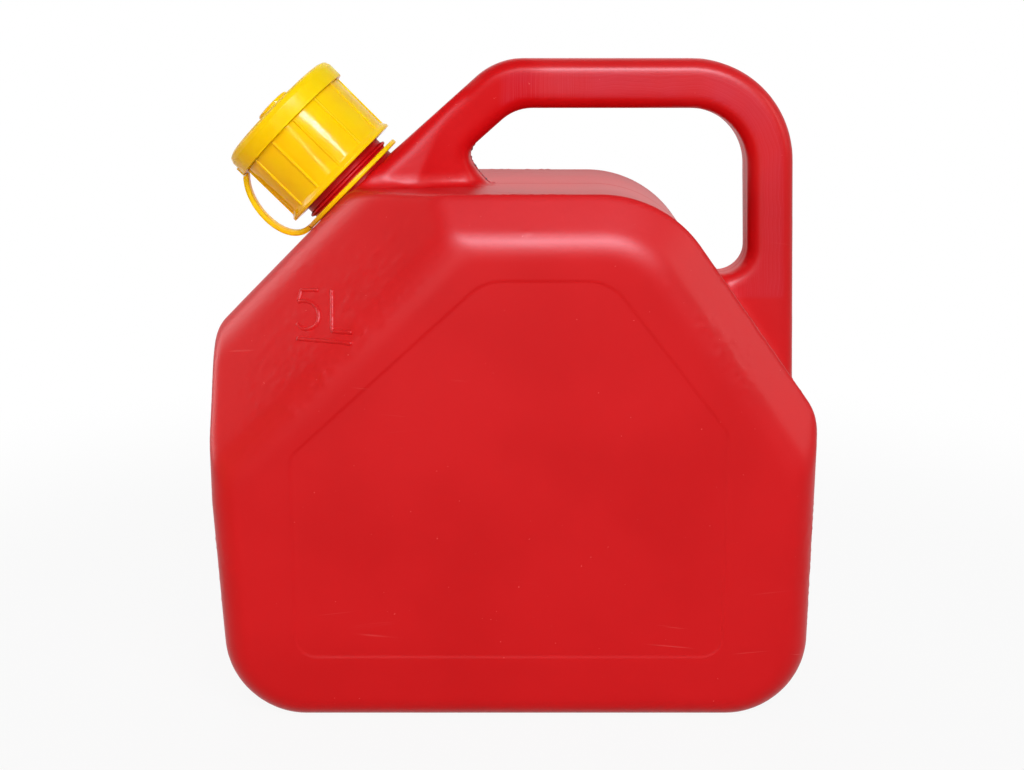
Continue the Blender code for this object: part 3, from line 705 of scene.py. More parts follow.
def panel_outline():
    corners = [
        Vector((PANEL_LEFT, PANEL_BOTTOM)),
        Vector((PANEL_RIGHT, PANEL_BOTTOM)),
        Vector((PANEL_RIGHT, PANEL_RIGHT_TOP)),
        Vector((PANEL_TOP_RIGHT_X, PANEL_TOP)),
        Vector((PANEL_TOP_LEFT_X, PANEL_TOP)),
        Vector((PANEL_LEFT, PANEL_LEFT_TOP)),
    ]
    return rounded(corners, PANEL_RADII, [10] * 6)


def base_outline():
    corners = oblong(-BASE_PANEL_WIDTH / 2, BASE_PANEL_WIDTH / 2, BASE_PANEL_DEPTH / 2)
    return rounded(corners, [BASE_PANEL_RADIUS] * 4, [12] * 4)


def inside_by(outline, u, v):
    """How far a point lies inside an anticlockwise outline; negative outside it."""
    nearest = 1.0
    inside = False
    for k in range(len(outline)):
        a = outline[k - 1]
        b = outline[k]
        du = b.x - a.x
        dv = b.y - a.y
        t = ((u - a.x) * du + (v - a.y) * dv) / (du * du + dv * dv)
        t = min(1, max(0, t))
        nearest = min(nearest, math.hypot(u - a.x - t * du, v - a.y - t * dv))
        if (a.y > v) != (b.y > v) and u < a.x + (v - a.y) / dv * du:
            inside = not inside
    return nearest if inside else -nearest


def smooth(value):
    value = min(1, max(0, value))
    return value * value * (3 - 2 * value)


def near_fine_line(point, panel, base):
    """Whether the skin needs smaller faces here, for a panel's step."""
    if abs(point.y) > HALF_DEPTH - FLAT_ZONE:
        return abs(inside_by(panel, point.x, point.z)) < REFINE_REACH
    if point.z < FLAT_ZONE:
        return abs(inside_by(base, point.x, point.y)) < REFINE_REACH
    return False


def rough_skin(tank, handle, grip, boss):
    """A voxel skin round all the shapes, which the field then draws into place."""
    bar = new_object("bar", handle)
    boolean(bar, "DIFFERENCE", new_object("grip", grip))
    boolean(bar, "UNION", new_object("fan", fan_mesh(-FAN_DROP)))
    rough = bpy.data.meshes.new("can_skin")
    with reshaped(rough) as shape:
        for mesh in (tank, bar.data, boss):
            shape.from_mesh(mesh)
    bpy.data.objects.remove(bar, do_unlink=True)
    skin = new_object("can_skin", rough)
    remesh = skin.modifiers.new("voxels", "REMESH")
    remesh.mode = "VOXEL"
    remesh.voxel_size = VOXEL
    return applied(skin)


def wave(point):
    """How far a cooled wall has sunk here. It comes to nothing at the handle and the parting line."""
    coarse, fine = (noise.noise(point * scale) for scale in WAVE_SCALES)
    uneven = 0.5 + 0.35 * coarse + 0.25 * fine
    return WAVE * uneven * smooth((abs(point.y) - WAVE_START) / WAVE_REACH) * smooth(point.z / FOOT_REACH)


def has_crest(point):
    """Whether the top's crest can run here: along the top and down the back."""
    return point.z > TOP_HEIGHT - CREST_ZONE or point.x > BACK_TOP_X - HANDLE_BAR


def anywhere(point):
    return True


def straighten(shape, lines, zone=anywhere):
    """Cuts the skin along planes of equal depth in a zone, so that a crest or ridge there runs straight."""
    for vert in shape.verts:
        for y in lines:
            if abs(vert.co.y - y) < SNAP and zone(vert.co):
                vert.co.y = y
    for y in lines:
        faces = [face for face in shape.faces if zone(face.calc_center_median())]
        edges = {edge for face in faces for edge in face.edges}
        verts = {vert for face in faces for vert in face.verts}
        geom = list(verts) + list(edges) + faces
        bmesh.ops.bisect_plane(shape, geom=geom, dist=1e-5, plane_co=(0, y, 0), plane_no=(0, 1, 0))


def even_out(shape, field):
    """Evens the faces of the leg's root and the platform, as some fold when they are drawn into place."""
    root = [vert for vert in shape.verts if vert.co.x < FAN_END_X and vert.co.z > TOP_HEIGHT]
    axes = {"use_axis_x": True, "use_axis_y": True, "use_axis_z": True}
    for _ in range(FAN_PASSES):
        bmesh.ops.smooth_vert(shape, verts=root, factor=0.5, **axes)
        for vert in root:
            gap, way = field(vert.co)
            vert.co -= way * gap


def mark_masks(skin):
    """Masks for the material: the handle's flats, and how far each point lies inside its outline."""
    outline = handle_outline()
    grip = grip_outline()
    flat = skin.data.attributes.new("flat", "FLOAT", "POINT")
    across = skin.data.attributes.new("across", "FLOAT", "POINT")
    half = HANDLE_THICKNESS / 2
    for vert in skin.data.vertices:
        x, y, z = vert.co
        if abs(y) > half + MASK_MARGIN or z < MASK_LOW_Z or x < MASK_LEFT_X:
            continue
        inside = inside_by(outline, x, z)
        edge = min(inside, -inside_by(grip, x, z))
        across.data[vert.index].value = inside
        on_face = smooth((abs(y) - half + MASK_FACE[0]) / MASK_FACE[1])
        off_edge = smooth((edge - HANDLE_EDGE_RADIUS + MASK_EDGE[0]) / MASK_EDGE[1])
        flat.data[vert.index].value = on_face * off_edge


def settled(point, field, panel, base):
    """Where a point of the skin ends: on the field, with panels, parting line and waves worked in."""
    gap, way = field(point)
    place = point - way * gap
    if abs(point.y) > HALF_DEPTH - FLAT_ZONE:
        sunk = PANEL_SINK * smooth(inside_by(panel, point.x, point.z) / PANEL_STEP) + wave(point)
        place.y = math.copysign(abs(place.y) - sunk, point.y)
        return place
    if point.z < FLAT_ZONE:
        place.z += BASE_SINK * smooth(inside_by(base, point.x, point.y) / PANEL_STEP)
        return place
    if abs(point.y) < PARTING_WIDTH * 1.01:
        way = Vector((way.x, 0, way.z)).normalized()
    ridge = PARTING_PROUD * max(0, 1 - abs(point.y) / PARTING_WIDTH) * smooth(point.z / FOOT_REACH)
    return point + way * (ridge - gap - wave(point))


def open_neck(shape):
    """Takes the skin off the neck's bore."""
    into_neck = NECK_FRAME.inverted()
    hole = []
    for face in shape.faces:
        local = into_neck @ face.calc_center_median()
        if abs(local.z) < HOLE_REACH and math.hypot(local.x, local.y) < NECK_BORE_RADIUS + VOXEL / 2:
            hole.append(face)
    bmesh.ops.delete(shape, geom=hole, context="FACES")


def make_skin():
    """The blow-moulded can: tank, handle and platform in one skin with soft fillets."""
    tank = tank_mesh()
    handle, grip = handle_meshes()
    boss = boss_mesh()
    trees = [tree_of(mesh) for mesh in (tank, handle, grip, fan_mesh(FAN_HEADROOM), boss)]
    field = skin_field(*trees)
    skin = rough_skin(tank, handle, grip, boss)
    panel = panel_outline()
    base = base_outline()
    low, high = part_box("can_body")
    with reshaped(skin.data) as shape:
        for vert in shape.verts:
            for _ in range(SKIN_DRAWS):
                gap, way = field(vert.co)
                vert.co -= way * gap
        even_out(shape, field)
        fine = [face for face in shape.faces if near_fine_line(face.calc_center_median(), panel, base)]
        edges = list({edge for face in fine for edge in face.edges})
        bmesh.ops.subdivide_edges(shape, edges=edges, cuts=2, use_grid_fill=True)
        straighten(shape, (0, PARTING_WIDTH, -PARTING_WIDTH))
        straighten(shape, (CREST_DEPTH, -CREST_DEPTH), has_crest)
        for vert in shape.verts:
            vert.co = settled(vert.co.copy(), field, panel, base)
            for axis in range(3):
                vert.co[axis] = min(high[axis], max(low[axis], vert.co[axis]))
        open_neck(shape)
    skin.data.shade_smooth()
    mark_masks(skin)
    return skin, field


# Marks on the skin


def finely(points, step):
    """The same line with points at most a step apart."""
    line = []
    for a, b in zip(points, points[1:]):
        count = max(1, math.ceil((b - a).length / step))
        line += [a.lerp(b, k / count) for k in range(count)]
    return line + [points[-1]]


def ridge_mesh(name, line, normals, width, heights, sink):
    """A low ridge along a line on a surface, its section a bell."""
    rings = []
    for k, point in enumerate(line):
        along = (line[min(k + 1, len(line) - 1)] - line[max(k - 1, 0)]).normalized()
        out = normals[k]
        side = along.cross(out).normalized()
        ring = []
        for j in range(SECTION_STEPS + 1):
            angle = math.pi * j / SECTION_STEPS
            rise = math.sin(angle) ** 2 * heights[k] - sink
            ring.append(point + side * math.cos(angle) * width / 2 + out * rise)
        rings.append(ring)
    return loft(name, rings)


def make_mark(skin):
    """The capacity, 5 L, raised on the facet beside the neck."""
    tree = tree_of(skin.data)
    mesh = bpy.data.meshes.new("volume_mark")
    with reshaped(mesh) as shape:
        for stroke in MARK_STROKES:
            line = []
            normals = []
            for point in finely([Vector((x / 1000, z / 1000)) for x, z in stroke], MARK_STEP):
                seen = Vector((point.x, MARK_PLANE, point.y)) - CAMERA_PLACE
                hit, normal, _, _ = tree.ray_cast(CAMERA_PLACE, seen)
                line.append(hit)
                normals.append(normal)
            normals = [sum(normals, Vector()).normalized()] * len(line)
            ends = len(line) - 1
            shares = [min(1, MARK_END + min(k, ends - k)) for k in range(len(line))]
            heights = [MARK_PROUD * share + MARK_SINK for share in shares]
            shape.from_mesh(ridge_mesh("stroke", line, normals, MARK_WIDTH, heights, MARK_SINK))
    mark = new_object("volume_mark", mesh)
    mark.data.shade_smooth()
    return mark


def make_pinch_line(field):
    """The trimmed flash that the mould's halves leave at the handle's front root."""
    outline = grip_outline()
    corner_end, next_point = outline[GRIP_CORNER_STEPS : GRIP_CORNER_STEPS + 2]
    foot = corner_end + (next_point - corner_end).normalized() * PINCH_RUN
    corners = [outline[0] + LEG_WAY * PINCH_START] + outline[: GRIP_CORNER_STEPS + 1] + [foot]
    line = []
    normals = []
    for flat in finely(corners, PINCH_STEP):
        point = Vector((flat.x, 0, flat.y))
        for _ in range(LINE_DRAWS):
            gap, way = field(point)
            way = Vector((way.x, 0, way.z)).normalized()
            point = point - way * gap
        if line and (point - line[-1]).length < PINCH_STEP / 4:
            continue
        line.append(point)
        normals.append(way)
    ends = len(line) - 1
    heights = []
    for k, point in enumerate(line):
        jagged = 0.5 + 0.5 * noise.noise(point * PINCH_GRAIN)
        heights.append(PINCH_PROUD * jagged * min(1, min(k, ends - k) / PINCH_FADE) + PINCH_SINK)
    mesh = ridge_mesh("pinch_line", line, normals, PINCH_WIDTH, heights, PINCH_SINK)
    pinch = new_object("pinch_line", mesh)
    pinch.data.shade_smooth()
    return pinch


# Neck, cap and tether


def helix(name, radius, start, turns, sink):
    """A thread of round section. Its ends sink by this much into the wall that carries it."""
    count = round(THREAD_STEPS * turns)
    rings = []
    for k in range(count + 1):
        angle = 2 * math.pi * turns * k / count
        height = start + PITCH * turns * k / count
        from_end = min(k, count - k) / (THREAD_STEPS * THREAD_RUNOUT)
        reach = radius + sink * max(0, 1 - from_end)
        ring = []
        for j in range(SECTION_STEPS):
            around = 2 * math.pi * j / SECTION_STEPS
            r = reach + THREAD_SIZE * math.cos(around)
            z = height + THREAD_SIZE * math.sin(around)
            ring.append(Vector((r * math.cos(angle), r * math.sin(angle), z)))
        rings.append(ring)
    return new_object(name, loft(name, rings), NECK_FRAME)


def make_neck():
    """The threaded neck, from inside the platform to its lip."""
    bead_top = BEAD_START + BEAD_HEIGHT
    points = [
        (NECK_BORE_RADIUS, -WALL),
        (NECK_RADIUS, -WALL),
        (NECK_RADIUS, BEAD_START),
        (BEAD_RADIUS, BEAD_START + BEAD_SLANT),
        (BEAD_RADIUS, BEAD_START + BEAD_HEIGHT - BEAD_SLANT),
        (NECK_RADIUS, bead_top),
        (NECK_RADIUS, NECK_LENGTH),
        (NECK_BORE_RADIUS, NECK_LENGTH),
    ]
    radii = [0, 0, 0.0003, 0.0004, 0.0004, 0.0003, NECK_LIP_RADIUS, NECK_LIP_RADIUS]
    neck = new_object("neck", turned("neck", soft_profile(points, radii)), NECK_FRAME)
    radius = NECK_RADIUS + NECK_THREAD_PROUD
    boolean(neck, "UNION", helix("thread", radius, NECK_THREAD_START, NECK_THREAD_TURNS, -THREAD_SIZE))
    shade(neck)
    return neck


def cap_mesh():
    """The cap's turned form: roof, skirt with a flared rim, and the stud that holds the hood."""
    head = HOOD_TOP + CLEARANCE
    rim = CAP_BOTTOM + CAP_RIM_HEIGHT
    points = [
        (0, CAP_CEILING),
        (CAP_INNER_RADIUS, CAP_CEILING),
        (CAP_INNER_RADIUS, CAP_BOTTOM),
        (CAP_RIM_RADIUS, CAP_BOTTOM),
        (CAP_RIM_RADIUS, CAP_BOTTOM + CAP_RIM_EDGE),
        (CAP_RADIUS, rim),
        (CAP_RADIUS, CAP_TOP),
        (STUD_RADIUS, CAP_TOP),
        (STUD_RADIUS, head),
        (STUD_HEAD_RADIUS, head),
        (STUD_HEAD_RADIUS, head + STUD_HEAD_HEIGHT),
        (0, head + STUD_HEAD_HEIGHT),
    ]
    radii = [0, 0.0006, 0.0004, 0.0003, 0.0003, 0.0012, CAP_EDGE, 0.0004, 0, 0.0003, STUD_HEAD_EDGE, 0]
    return turned("screw_cap", soft_profile(points, radii))


def rib_mesh(k):
    """One grip rib, a bar with a round crest, its sides sunk into the skirt along its length."""
    bottom = CAP_BOTTOM + CAP_RIM_HEIGHT / 2
    top = HOOD_BOTTOM - CLEARANCE
    angle = 2 * math.pi * (k + 0.5) / RIB_COUNT + RIB_TURN
    rings = []
    for i in range(RIB_STEPS + 1):
        z = bottom + (top - bottom) * i / RIB_STEPS
        ring = []
        for j in range(SECTION_STEPS + 1):
            across = math.cos(math.pi * j / SECTION_STEPS)
            rise = math.sin(math.pi * j / SECTION_STEPS)
            radius = CAP_RADIUS + (RIB_PROUD + RIB_FOOT) * rise**0.8 - RIB_FOOT
            turn = angle + across * RIB_WIDTH / 2 / CAP_RADIUS
            ring.append(Vector((radius * math.cos(turn), radius * math.sin(turn), z)))
        rings.append(ring)
    return loft("rib", rings)


def make_cap():
    cap = new_object("cap", cap_mesh(), NECK_FRAME)
    radius = CAP_INNER_RADIUS - CAP_THREAD_INSET
    boolean(cap, "UNION", helix("thread", radius, CAP_THREAD_START, CAP_THREAD_TURNS, THREAD_SIZE))
    for k in range(RIB_COUNT):
        boolean(cap, "UNION", new_object("rib", rib_mesh(k), NECK_FRAME))
    shade(cap)
    return cap


def strap_hood_radius():
    return CAP_RADIUS + RIB_PROUD + CLEARANCE + STRAP_THICKNESS / 2


def make_hood():
    hole = STUD_RADIUS + CLEARANCE
    points = [
        (hole, HOOD_CEILING),
        (HOOD_INNER_RADIUS, HOOD_CEILING),
        (HOOD_INNER_RADIUS, HOOD_BOTTOM),
        (HOOD_RADIUS, HOOD_BOTTOM),
        (HOOD_RADIUS, HOOD_TOP - HOOD_EDGE),
        (HOOD_RADIUS - HOOD_EDGE_START, HOOD_TOP - HOOD_EDGE_START),
        (HOOD_RADIUS - HOOD_EDGE, HOOD_TOP),
        (hole, HOOD_TOP),
    ]
    radii = [0, 0.0004, 0.0003, 0.0004, 0.0012, 0.0012, 0.0012, 0.0003]
    hood = new_object("hood", turned("hood", soft_profile(points, radii, 8)), NECK_FRAME)
    outer = strap_hood_radius() + STRAP_THICKNESS / 2
    inner = HOOD_INNER_RADIUS + HOOD_WALL / 3
    outline = rounded(oblong(-outer, -inner, STRAP_WIDTH / 2), [0.0007, 0, 0, 0.0007], [5, 0, 0, 5])
    rings = [[Vector((p.x, p.y, z)) for p in outline] for z in (HOOD_BOTTOM, HOOD_BOTTOM + LUG_HEIGHT)]
    boolean(hood, "UNION", new_object("lug", loft("lug", rings), NECK_FRAME))
    shade(hood)
    return hood


def make_ring():
    bottom = CLEARANCE
    top = CLEARANCE + RING_THICKNESS
    outer = [(RING_RADIUS, bottom), (RING_RADIUS, top)]
    points = [(RING_INNER_RADIUS, bottom), *outer, (RING_INNER_RADIUS, top)]
    profile = soft_profile(points, [0.0003, 0.0006, 0.0006, 0.0003])
    ring = new_object("ring", turned("ring", profile), NECK_FRAME)
    shade(ring)
    return ring


def strap_path(steps=48):
    """The strap's centre line in the neck's frame, from the ring round to the hood's edge."""
    ring_end = Vector((-RING_RADIUS - CLEARANCE, CLEARANCE + RING_THICKNESS / 2))
    hood_end = Vector((-strap_hood_radius(), HOOD_BOTTOM - CLEARANCE))
    ring_way = Vector((-math.cos(STRAP_RING_LEAN), math.sin(STRAP_RING_LEAN)))
    hood_way = Vector((-math.sin(STRAP_HOOD_LEAN), -math.cos(STRAP_HOOD_LEAN)))
    first = ring_end + ring_way * STRAP_RING_PULL
    second = hood_end + hood_way * STRAP_HOOD_PULL
    points = []
    for k in range(steps + 1):
        t = k / steps
        s = 1 - t
        points.append(ring_end * s**3 + first * 3 * s * s * t + second * 3 * s * t * t + hood_end * t**3)
    return points


def make_strap():
    path = strap_path()
    rings = []
    thick = STRAP_THICKNESS / 2
    section = rounded(oblong(-thick, thick, STRAP_WIDTH / 2), [0.0006] * 4, [5] * 4)
    last = len(path) - 1
    for k, point in enumerate(path):
        way = (path[min(k + 1, last)] - path[max(k - 1, 0)]).normalized()
        if k == 0:
            way = Vector((-1, 0))
        if k == last:
            way = Vector((0, 1))
        out = Vector((-way.y, way.x))
        rings.append([Vector((point.x + out.x * s.x, s.y, point.y + out.y * s.x)) for s in section])
    strap = new_object("strap", loft("strap", rings), NECK_FRAME)
    shade(strap)
    return strap


# Materials


class Tree:
    """Shader nodes, made and joined in short lines."""

    def __init__(self, tree):
        self.tree = tree

    def add(self, kind, inputs=None, **settings):
        node = self.tree.nodes.new(kind)
        for key, value in settings.items():
            setattr(node, key, value)
        for key, value in (inputs or {}).items():
            self.give(node.inputs[key], value)
        return node

    def give(self, socket, value):
        if isinstance(value, bpy.types.NodeSocket):
            self.tree.links.new(value, socket)
        else:
            socket.default_value = value

    def math(self, operation, one, other=0.0):
        return self.add("ShaderNodeMath", {0: one, 1: other}, operation=operation).outputs[0]

    def seen_by_eye(self):
        """1 for rays from the camera and for those that a shiny or clear surface sends on."""
        path = self.add("ShaderNodeLightPath").outputs
        both = self.math("MAXIMUM", path["Is Camera Ray"], path["Is Glossy Ray"])
        return self.math("MAXIMUM", both, path["Is Transmission Ray"])

    def show(self, output, share, one, other):
        """Ends the tree in a blend of two shaders."""
        blend = self.add("ShaderNodeMixShader", {0: share, 1: one, 2: other}).outputs[0]
        self.add(output, {"Surface": blend})


class Plastic(Tree):
    """A material round one shader, with patterns in the object's own space."""

    def __init__(self, name):
        self.material = bpy.data.materials.new(name)
        self.material.use_nodes = True
        super().__init__(self.material.node_tree)
        self.shader = self.tree.nodes["Principled BSDF"]
        self.place = self.add("ShaderNodeTexCoord").outputs["Object"]

    def noise(self, scale, detail=2.0, place=None, roughness=0.5):
        """Noise at a place, or else all through. Its scale counts grains a metre."""
        vector = self.place if place is None else place
        values = {"Vector": vector, "Scale": scale, "Detail": detail, "Roughness": roughness}
        return self.add("ShaderNodeTexNoise", values).outputs["Fac"]

    def ramp(self, value, low, high, to_low=0.0, to_high=1.0):
        values = {0: value, 1: low, 2: high, 3: to_low, 4: to_high}
        return self.add("ShaderNodeMapRange", values, interpolation_type="SMOOTHSTEP").outputs[0]

    def mix(self, share, one, other):
        values = {0: share, 6: one, 7: other}
        return self.add("ShaderNodeMix", values, data_type="RGBA", clamp_factor=True).outputs[2]

    def flip(self, value):
        return self.math("SUBTRACT", 1.0, value)

    def attribute(self, name):
        return self.add("ShaderNodeAttribute", attribute_name=name).outputs["Fac"]

    def split(self, vector, axis):
        return self.add("ShaderNodeSeparateXYZ", {0: vector}).outputs[axis]

    def line_noise(self, value, scale):
        """Noise along one number alone, so that it draws fine parallel lines."""
        place = self.add("ShaderNodeCombineXYZ", {"X": value}).outputs[0]
        return self.noise(scale, 2.0, place, 0.6)

    def scratches(self, turn, stretch, scale, low, high):
        """Sparse thin lines: the crests of a noise that is drawn out along X and turned a little."""
        leaning = self.add("ShaderNodeMapping", {"Vector": self.place, "Rotation": turn}).outputs[0]
        drawn = self.add("ShaderNodeMapping", {"Vector": leaning, "Scale": stretch}).outputs[0]
        return self.ramp(self.noise(scale, 3.0, drawn, 0.55), low, high)

    def bump(self, height, strength, distance, normal=None):
        values = {"Height": height, "Strength": strength, "Distance": distance}
        if normal is not None:
            values["Normal"] = normal
        return self.add("ShaderNodeBump", values).outputs["Normal"]

    def finish(self, values):
        for key, value in values.items():
            self.give(self.shader.inputs[key], value)
        return self.material


def colour(red, green, blue):
    """A colour written as sRGB parts of 255."""
    parts = []
    for part in (red, green, blue):
        part /= 255
        parts.append(part / 12.92 if part <= 0.04045 else ((part + 0.055) / 1.055) ** 2.4)
    return (*parts, 1)


def red_plastic():
    n = Plastic("red_polyethylene")
    cloud = n.noise(16, 3)
    base = n.mix(n.ramp(cloud, 0.35, 0.65), colour(195, 9, 14), colour(201, 13, 18))
    # Fine die lines on the handle's flats: across the bar at its front, and along it from there on. Besides
    # their bump and roughness, they are lightened towards pink, a painted sheen.
    x = n.split(n.place, "X")
    flat = n.math("MULTIPLY", n.attribute("flat"), n.ramp(x, -0.007, -0.002))
    across = n.attribute("across")
    waver = n.math("MULTIPLY", n.noise(60, 2), 0.004)
    along = n.line_noise(n.math("ADD", across, waver), 2600)
    hatch = n.line_noise(n.math("ADD", x, n.math("MULTIPLY", n.noise(90, 1), 0.0012)), 2300)
    front = n.ramp(x, 0.012, 0.045, 1, 0)
    lines = n.math("ADD", n.math("MULTIPLY", front, hatch), n.math("MULTIPLY", n.flip(front), along))
    die_lines_and_sheen = n.math("MULTIPLY", flat, n.ramp(lines, 0.42, 0.68))
    # Painted sheen: the handle's flats are tinted pink in soft patches, more strongly higher up, in place
    # of the soft reflection they catch.
    painted_sheen = n.math("MULTIPLY", flat, n.ramp(n.noise(45, 3), 0.30, 0.70, 0.25, 0.75))
    painted_sheen = n.math("MULTIPLY", painted_sheen, n.ramp(n.split(n.place, "Z"), 0.215, 0.250, 0.45, 1.0))
    base = n.mix(n.math("MULTIPLY", painted_sheen, 0.55), base, colour(192, 44, 68))
    # Painted sheen along the die lines: they are lightened towards pink.
    base = n.mix(n.math("MULTIPLY", die_lines_and_sheen, 0.16), base, colour(216, 92, 108))
    # Scuffs: short, nearly level scratches, and specks where the skin was knocked.
    scratch = n.scratches((0, 0.10, 0), (9, 30, 330), 1, 0.680, 0.740)
    scratch = n.math("MAXIMUM", scratch, n.scratches((0.3, -0.09, 0.2), (8, 30, 420), 1, 0.685, 0.74))
    where = n.ramp(n.noise(14, 2), 0.54, 0.66)
    scratch = n.math("MULTIPLY", scratch, where)
    specks = n.ramp(n.noise(680, 1), 0.795, 0.825)
    marks = n.math("MAXIMUM", n.math("MULTIPLY", scratch, 0.25), n.math("MULTIPLY", specks, 0.4))
    base = n.mix(marks, base, colour(236, 120, 118))
    rough = n.math("ADD", n.ramp(cloud, 0.3, 0.7, 0.36, 0.39), n.math("MULTIPLY", die_lines_and_sheen, 0.10))
    rough = n.math("ADD", rough, n.math("MULTIPLY", marks, 0.15))
    peel = n.bump(n.noise(420, 3), 0.16, 0.0002)
    lined = n.bump(n.math("MULTIPLY", lines, flat), 0.35, 0.0001, peel)
    grain = n.bump(scratch, 0.25, 0.0001, lined)
    # The front leg is duller than the rest.
    dull = n.math("MULTIPLY", n.ramp(x, 0.000, 0.020, 1, 0), n.ramp(n.split(n.place, "Z"), 0.215, 0.219))
    shine = {"IOR": 1.5, "Specular IOR Level": n.ramp(dull, 0, 1, 0.17, 0.06)}
    return n.finish({"Base Color": base, "Roughness": rough, "Normal": grain, **shine})


def pinch_plastic():
    """The trimmed flash, dark red and darker in patches."""
    n = Plastic("red_polyethylene_flash")
    base = n.mix(n.ramp(n.noise(700, 3), 0.42, 0.56), colour(58, 10, 14), colour(168, 22, 26))
    normal = n.bump(n.noise(2400, 2), 0.5, 0.0002)
    rough = n.ramp(n.noise(500), 0.3, 0.7, 0.5, 0.7)
    return n.finish({"Base Color": base, "Roughness": rough, "Normal": normal})


def yellow_plastic(name, light, dark, rough):
    n = Plastic(name)
    cloud = n.noise(60, 3)
    base = n.mix(n.ramp(cloud, 0.35, 0.65), light, dark)
    dust = n.ramp(n.noise(1300, 1), 0.76, 0.82)
    base = n.mix(n.math("MULTIPLY", dust, 0.4), base, colour(214, 150, 30))
    roughness = n.ramp(n.noise(260, 2), 0.3, 0.7, rough - 0.03, rough + 0.04)
    normal = n.bump(n.noise(520, 2), 0.10, 0.0002)
    shine = {"IOR": 1.49, "Specular IOR Level": 0.085}
    soft = {"Subsurface Weight": 0.25, "Subsurface Scale": 0.003, "Subsurface Radius": (1.0, 0.55, 0.08)}
    return n.finish({"Base Color": base, "Roughness": roughness, "Normal": normal, **shine, **soft})


def rubber():
    n = Plastic("seal_rubber")
    base = n.mix(n.ramp(n.noise(300, 3), 0.3, 0.7), (0.018, 0.018, 0.018, 1), (0.035, 0.034, 0.033, 1))
    normal = n.bump(n.noise(2500, 2), 0.3, 0.0001)
    rough = n.ramp(n.noise(700), 0.3, 0.7, 0.6, 0.75)
    return n.finish({"Base Color": base, "Roughness": rough, "Normal": normal})


def floor_material():
    """White to the eye far off, and near the object with its shadow left in."""
    material = bpy.data.materials.new("floor")
    material.use_nodes = True
    n = Tree(material.node_tree)
    n.tree.nodes.clear()
    paper = n.add("ShaderNodeBsdfDiffuse", {"Color": FLOOR_PAPER}).outputs[0]
    glow = n.add("ShaderNodeEmission", {"Color": WHITE}).outputs[0]
    place = n.add("ShaderNodeTexCoord").outputs["Object"]
    away = n.add("ShaderNodeVectorMath", {0: place}, operation="LENGTH").outputs["Value"]
    reach = {"Value": away, "From Min": FLOOR_NEAR, "From Max": FLOOR_FAR, "To Min": FLOOR_WHITE}
    fade = n.add("ShaderNodeMapRange", reach, interpolation_type="SMOOTHSTEP").outputs[0]
    n.show("ShaderNodeOutputMaterial", n.math("MULTIPLY", n.seen_by_eye(), fade), paper, glow)
    return material


# Floor, camera and lights


def make_camera():
    data = bpy.data.cameras.new("camera")
    data.sensor_width = 36
    data.lens = 36 * FOCAL / 1024
    data.clip_start = 0.01
    data.clip_end = 100
    camera = new_object("camera", data)
    camera.location = CAMERA_PLACE
    camera.rotation_euler = (math.pi / 2 - CAMERA_PITCH, 0, 0)
    bpy.context.scene.camera = camera


def area_light(name, place, target, size, watts, lights, tint=(1, 1, 1)):
    """A soft box. One for gloss shows only as a reflection, and one for colour only lights."""
    data = bpy.data.lights.new(name, "AREA")
    data.shape = "RECTANGLE"
    data.size, data.size_y = size
    data.energy = watts
    data.color = tint
    light = new_object(name, data)
    light.location = place
    light.rotation_euler = (Vector(target) - Vector(place)).to_track_quat("-Z", "Y").to_euler()
    light.visible_glossy = lights != "colour"
    light.visible_diffuse = lights != "gloss"


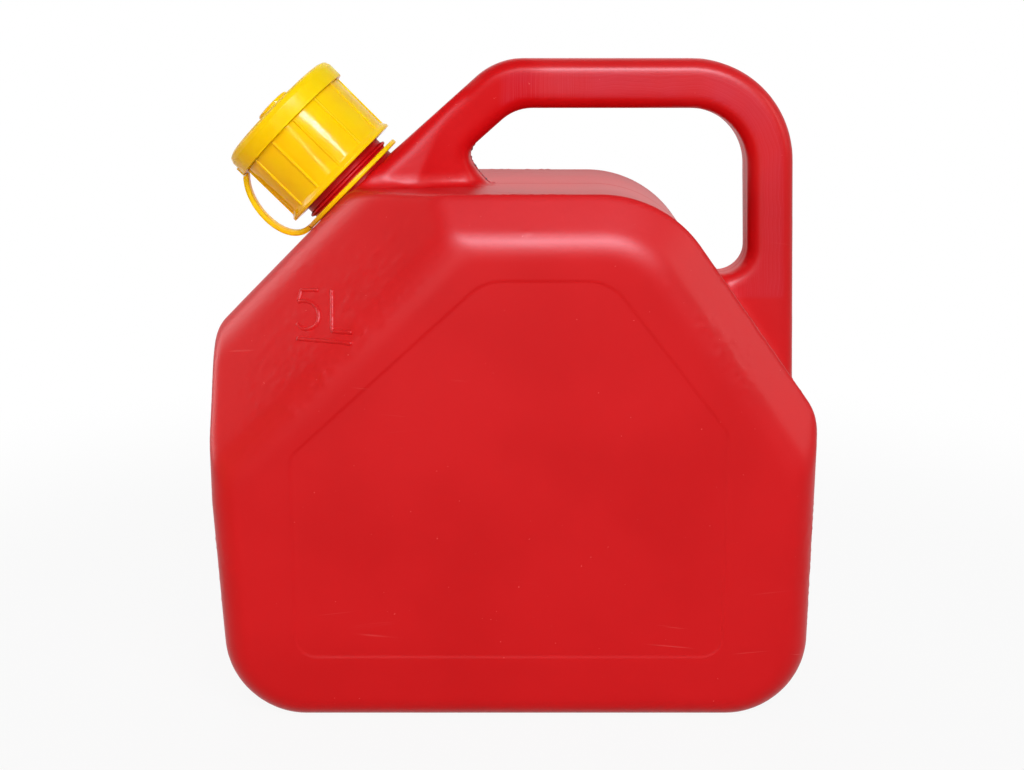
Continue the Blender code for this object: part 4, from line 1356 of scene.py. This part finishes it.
def make_studio():
    scene = bpy.context.scene
    scene.view_settings.view_transform = "Standard"
    mesh = mesh_of("floor", [(-8, -8, 0), (8, -8, 0), (8, 8, 0), (-8, 8, 0)], [(0, 1, 2, 3)])
    floor = new_object("floor", mesh)
    mesh.materials.append(floor_material())
    world = bpy.data.worlds.new("studio")
    scene.world = world
    world.use_nodes = True
    n = Tree(world.node_tree)
    n.tree.nodes.clear()
    room = n.add("ShaderNodeBackground", {"Color": WHITE, "Strength": ROOM_STRENGTH}).outputs[0]
    white = n.add("ShaderNodeBackground", {"Color": WHITE}).outputs[0]
    n.show("ShaderNodeOutputWorld", n.seen_by_eye(), room, white)
    middle = (0, 0, 0.13)
    area_light("key", (0.45, -1.45, 1.05), middle, (1.3, 1.0), 27, "colour")
    area_light("back", (-0.2, 1.3, 1.1), middle, (1.3, 1.0), 14, "colour")
    area_light("warm", (-0.9, -0.7, 0.05), (-0.1, 0, 0.25), (0.5, 0.5), 5.0, "colour", (1.0, 0.42, 0.08))
    area_light("front_gloss", (0.25, -2.1, 1.60), (0, 0, 0.2), (1.3, 0.40), 155, "gloss", (1.0, 0.84, 0.98))
    area_light("right_gloss", (1.6, -0.6, 0.9), middle, (0.5, 1.0), 10, "gloss")
    area_light("left_gloss", (-1.25, 0.15, 0.62), middle, (0.5, 1.2), 16, "gloss")
    area_light("strip", (-0.32, -1.6, 0.30), (-0.1, 0, 0.24), (0.02, 0.7), 3.0, "gloss")


# The object


def dress(piece, name, body, slot, material, *nodes):
    piece.name = name
    piece.data.materials.clear()
    piece.data.materials.append(material)
    if body:
        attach(piece, body)
    if nodes:
        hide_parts(*nodes)


def main():
    make_camera()
    make_studio()
    red = red_plastic()
    yellow = yellow_plastic("yellow_polypropylene", colour(253, 210, 2), colour(251, 203, 2), 0.12)
    soft_yellow = yellow_plastic("yellow_polyethylene", colour(252, 216, 3), colour(250, 209, 3), 0.28)
    skin, field = make_skin()
    dress(skin, "can_skin", "can", "can_red", red, "can_body")
    dress(make_mark(skin), "volume_mark", "can", "can_red", red)
    dress(make_pinch_line(field), "pinch_line", "can", "can_red", pinch_plastic())
    dress(make_neck(), "neck", "can", "can_red", red)
    dress(make_cap(), "cap_shell", "cap", "cap_yellow", yellow, "screw_cap")
    dress(make_hood(), "hood_cover", "hood", "tether_yellow", soft_yellow, "tether_hood")
    dress(make_ring(), "neck_ring", "ring", "tether_yellow", soft_yellow, "tether_ring")
    strap = make_strap()
    dress(strap, "strap", None, "tether_yellow", soft_yellow, "tether_strap")
    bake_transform(strap)
    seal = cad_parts["cap_seal"]
    seal.data.materials.clear()
    seal.data.materials.append(rubber())


main()
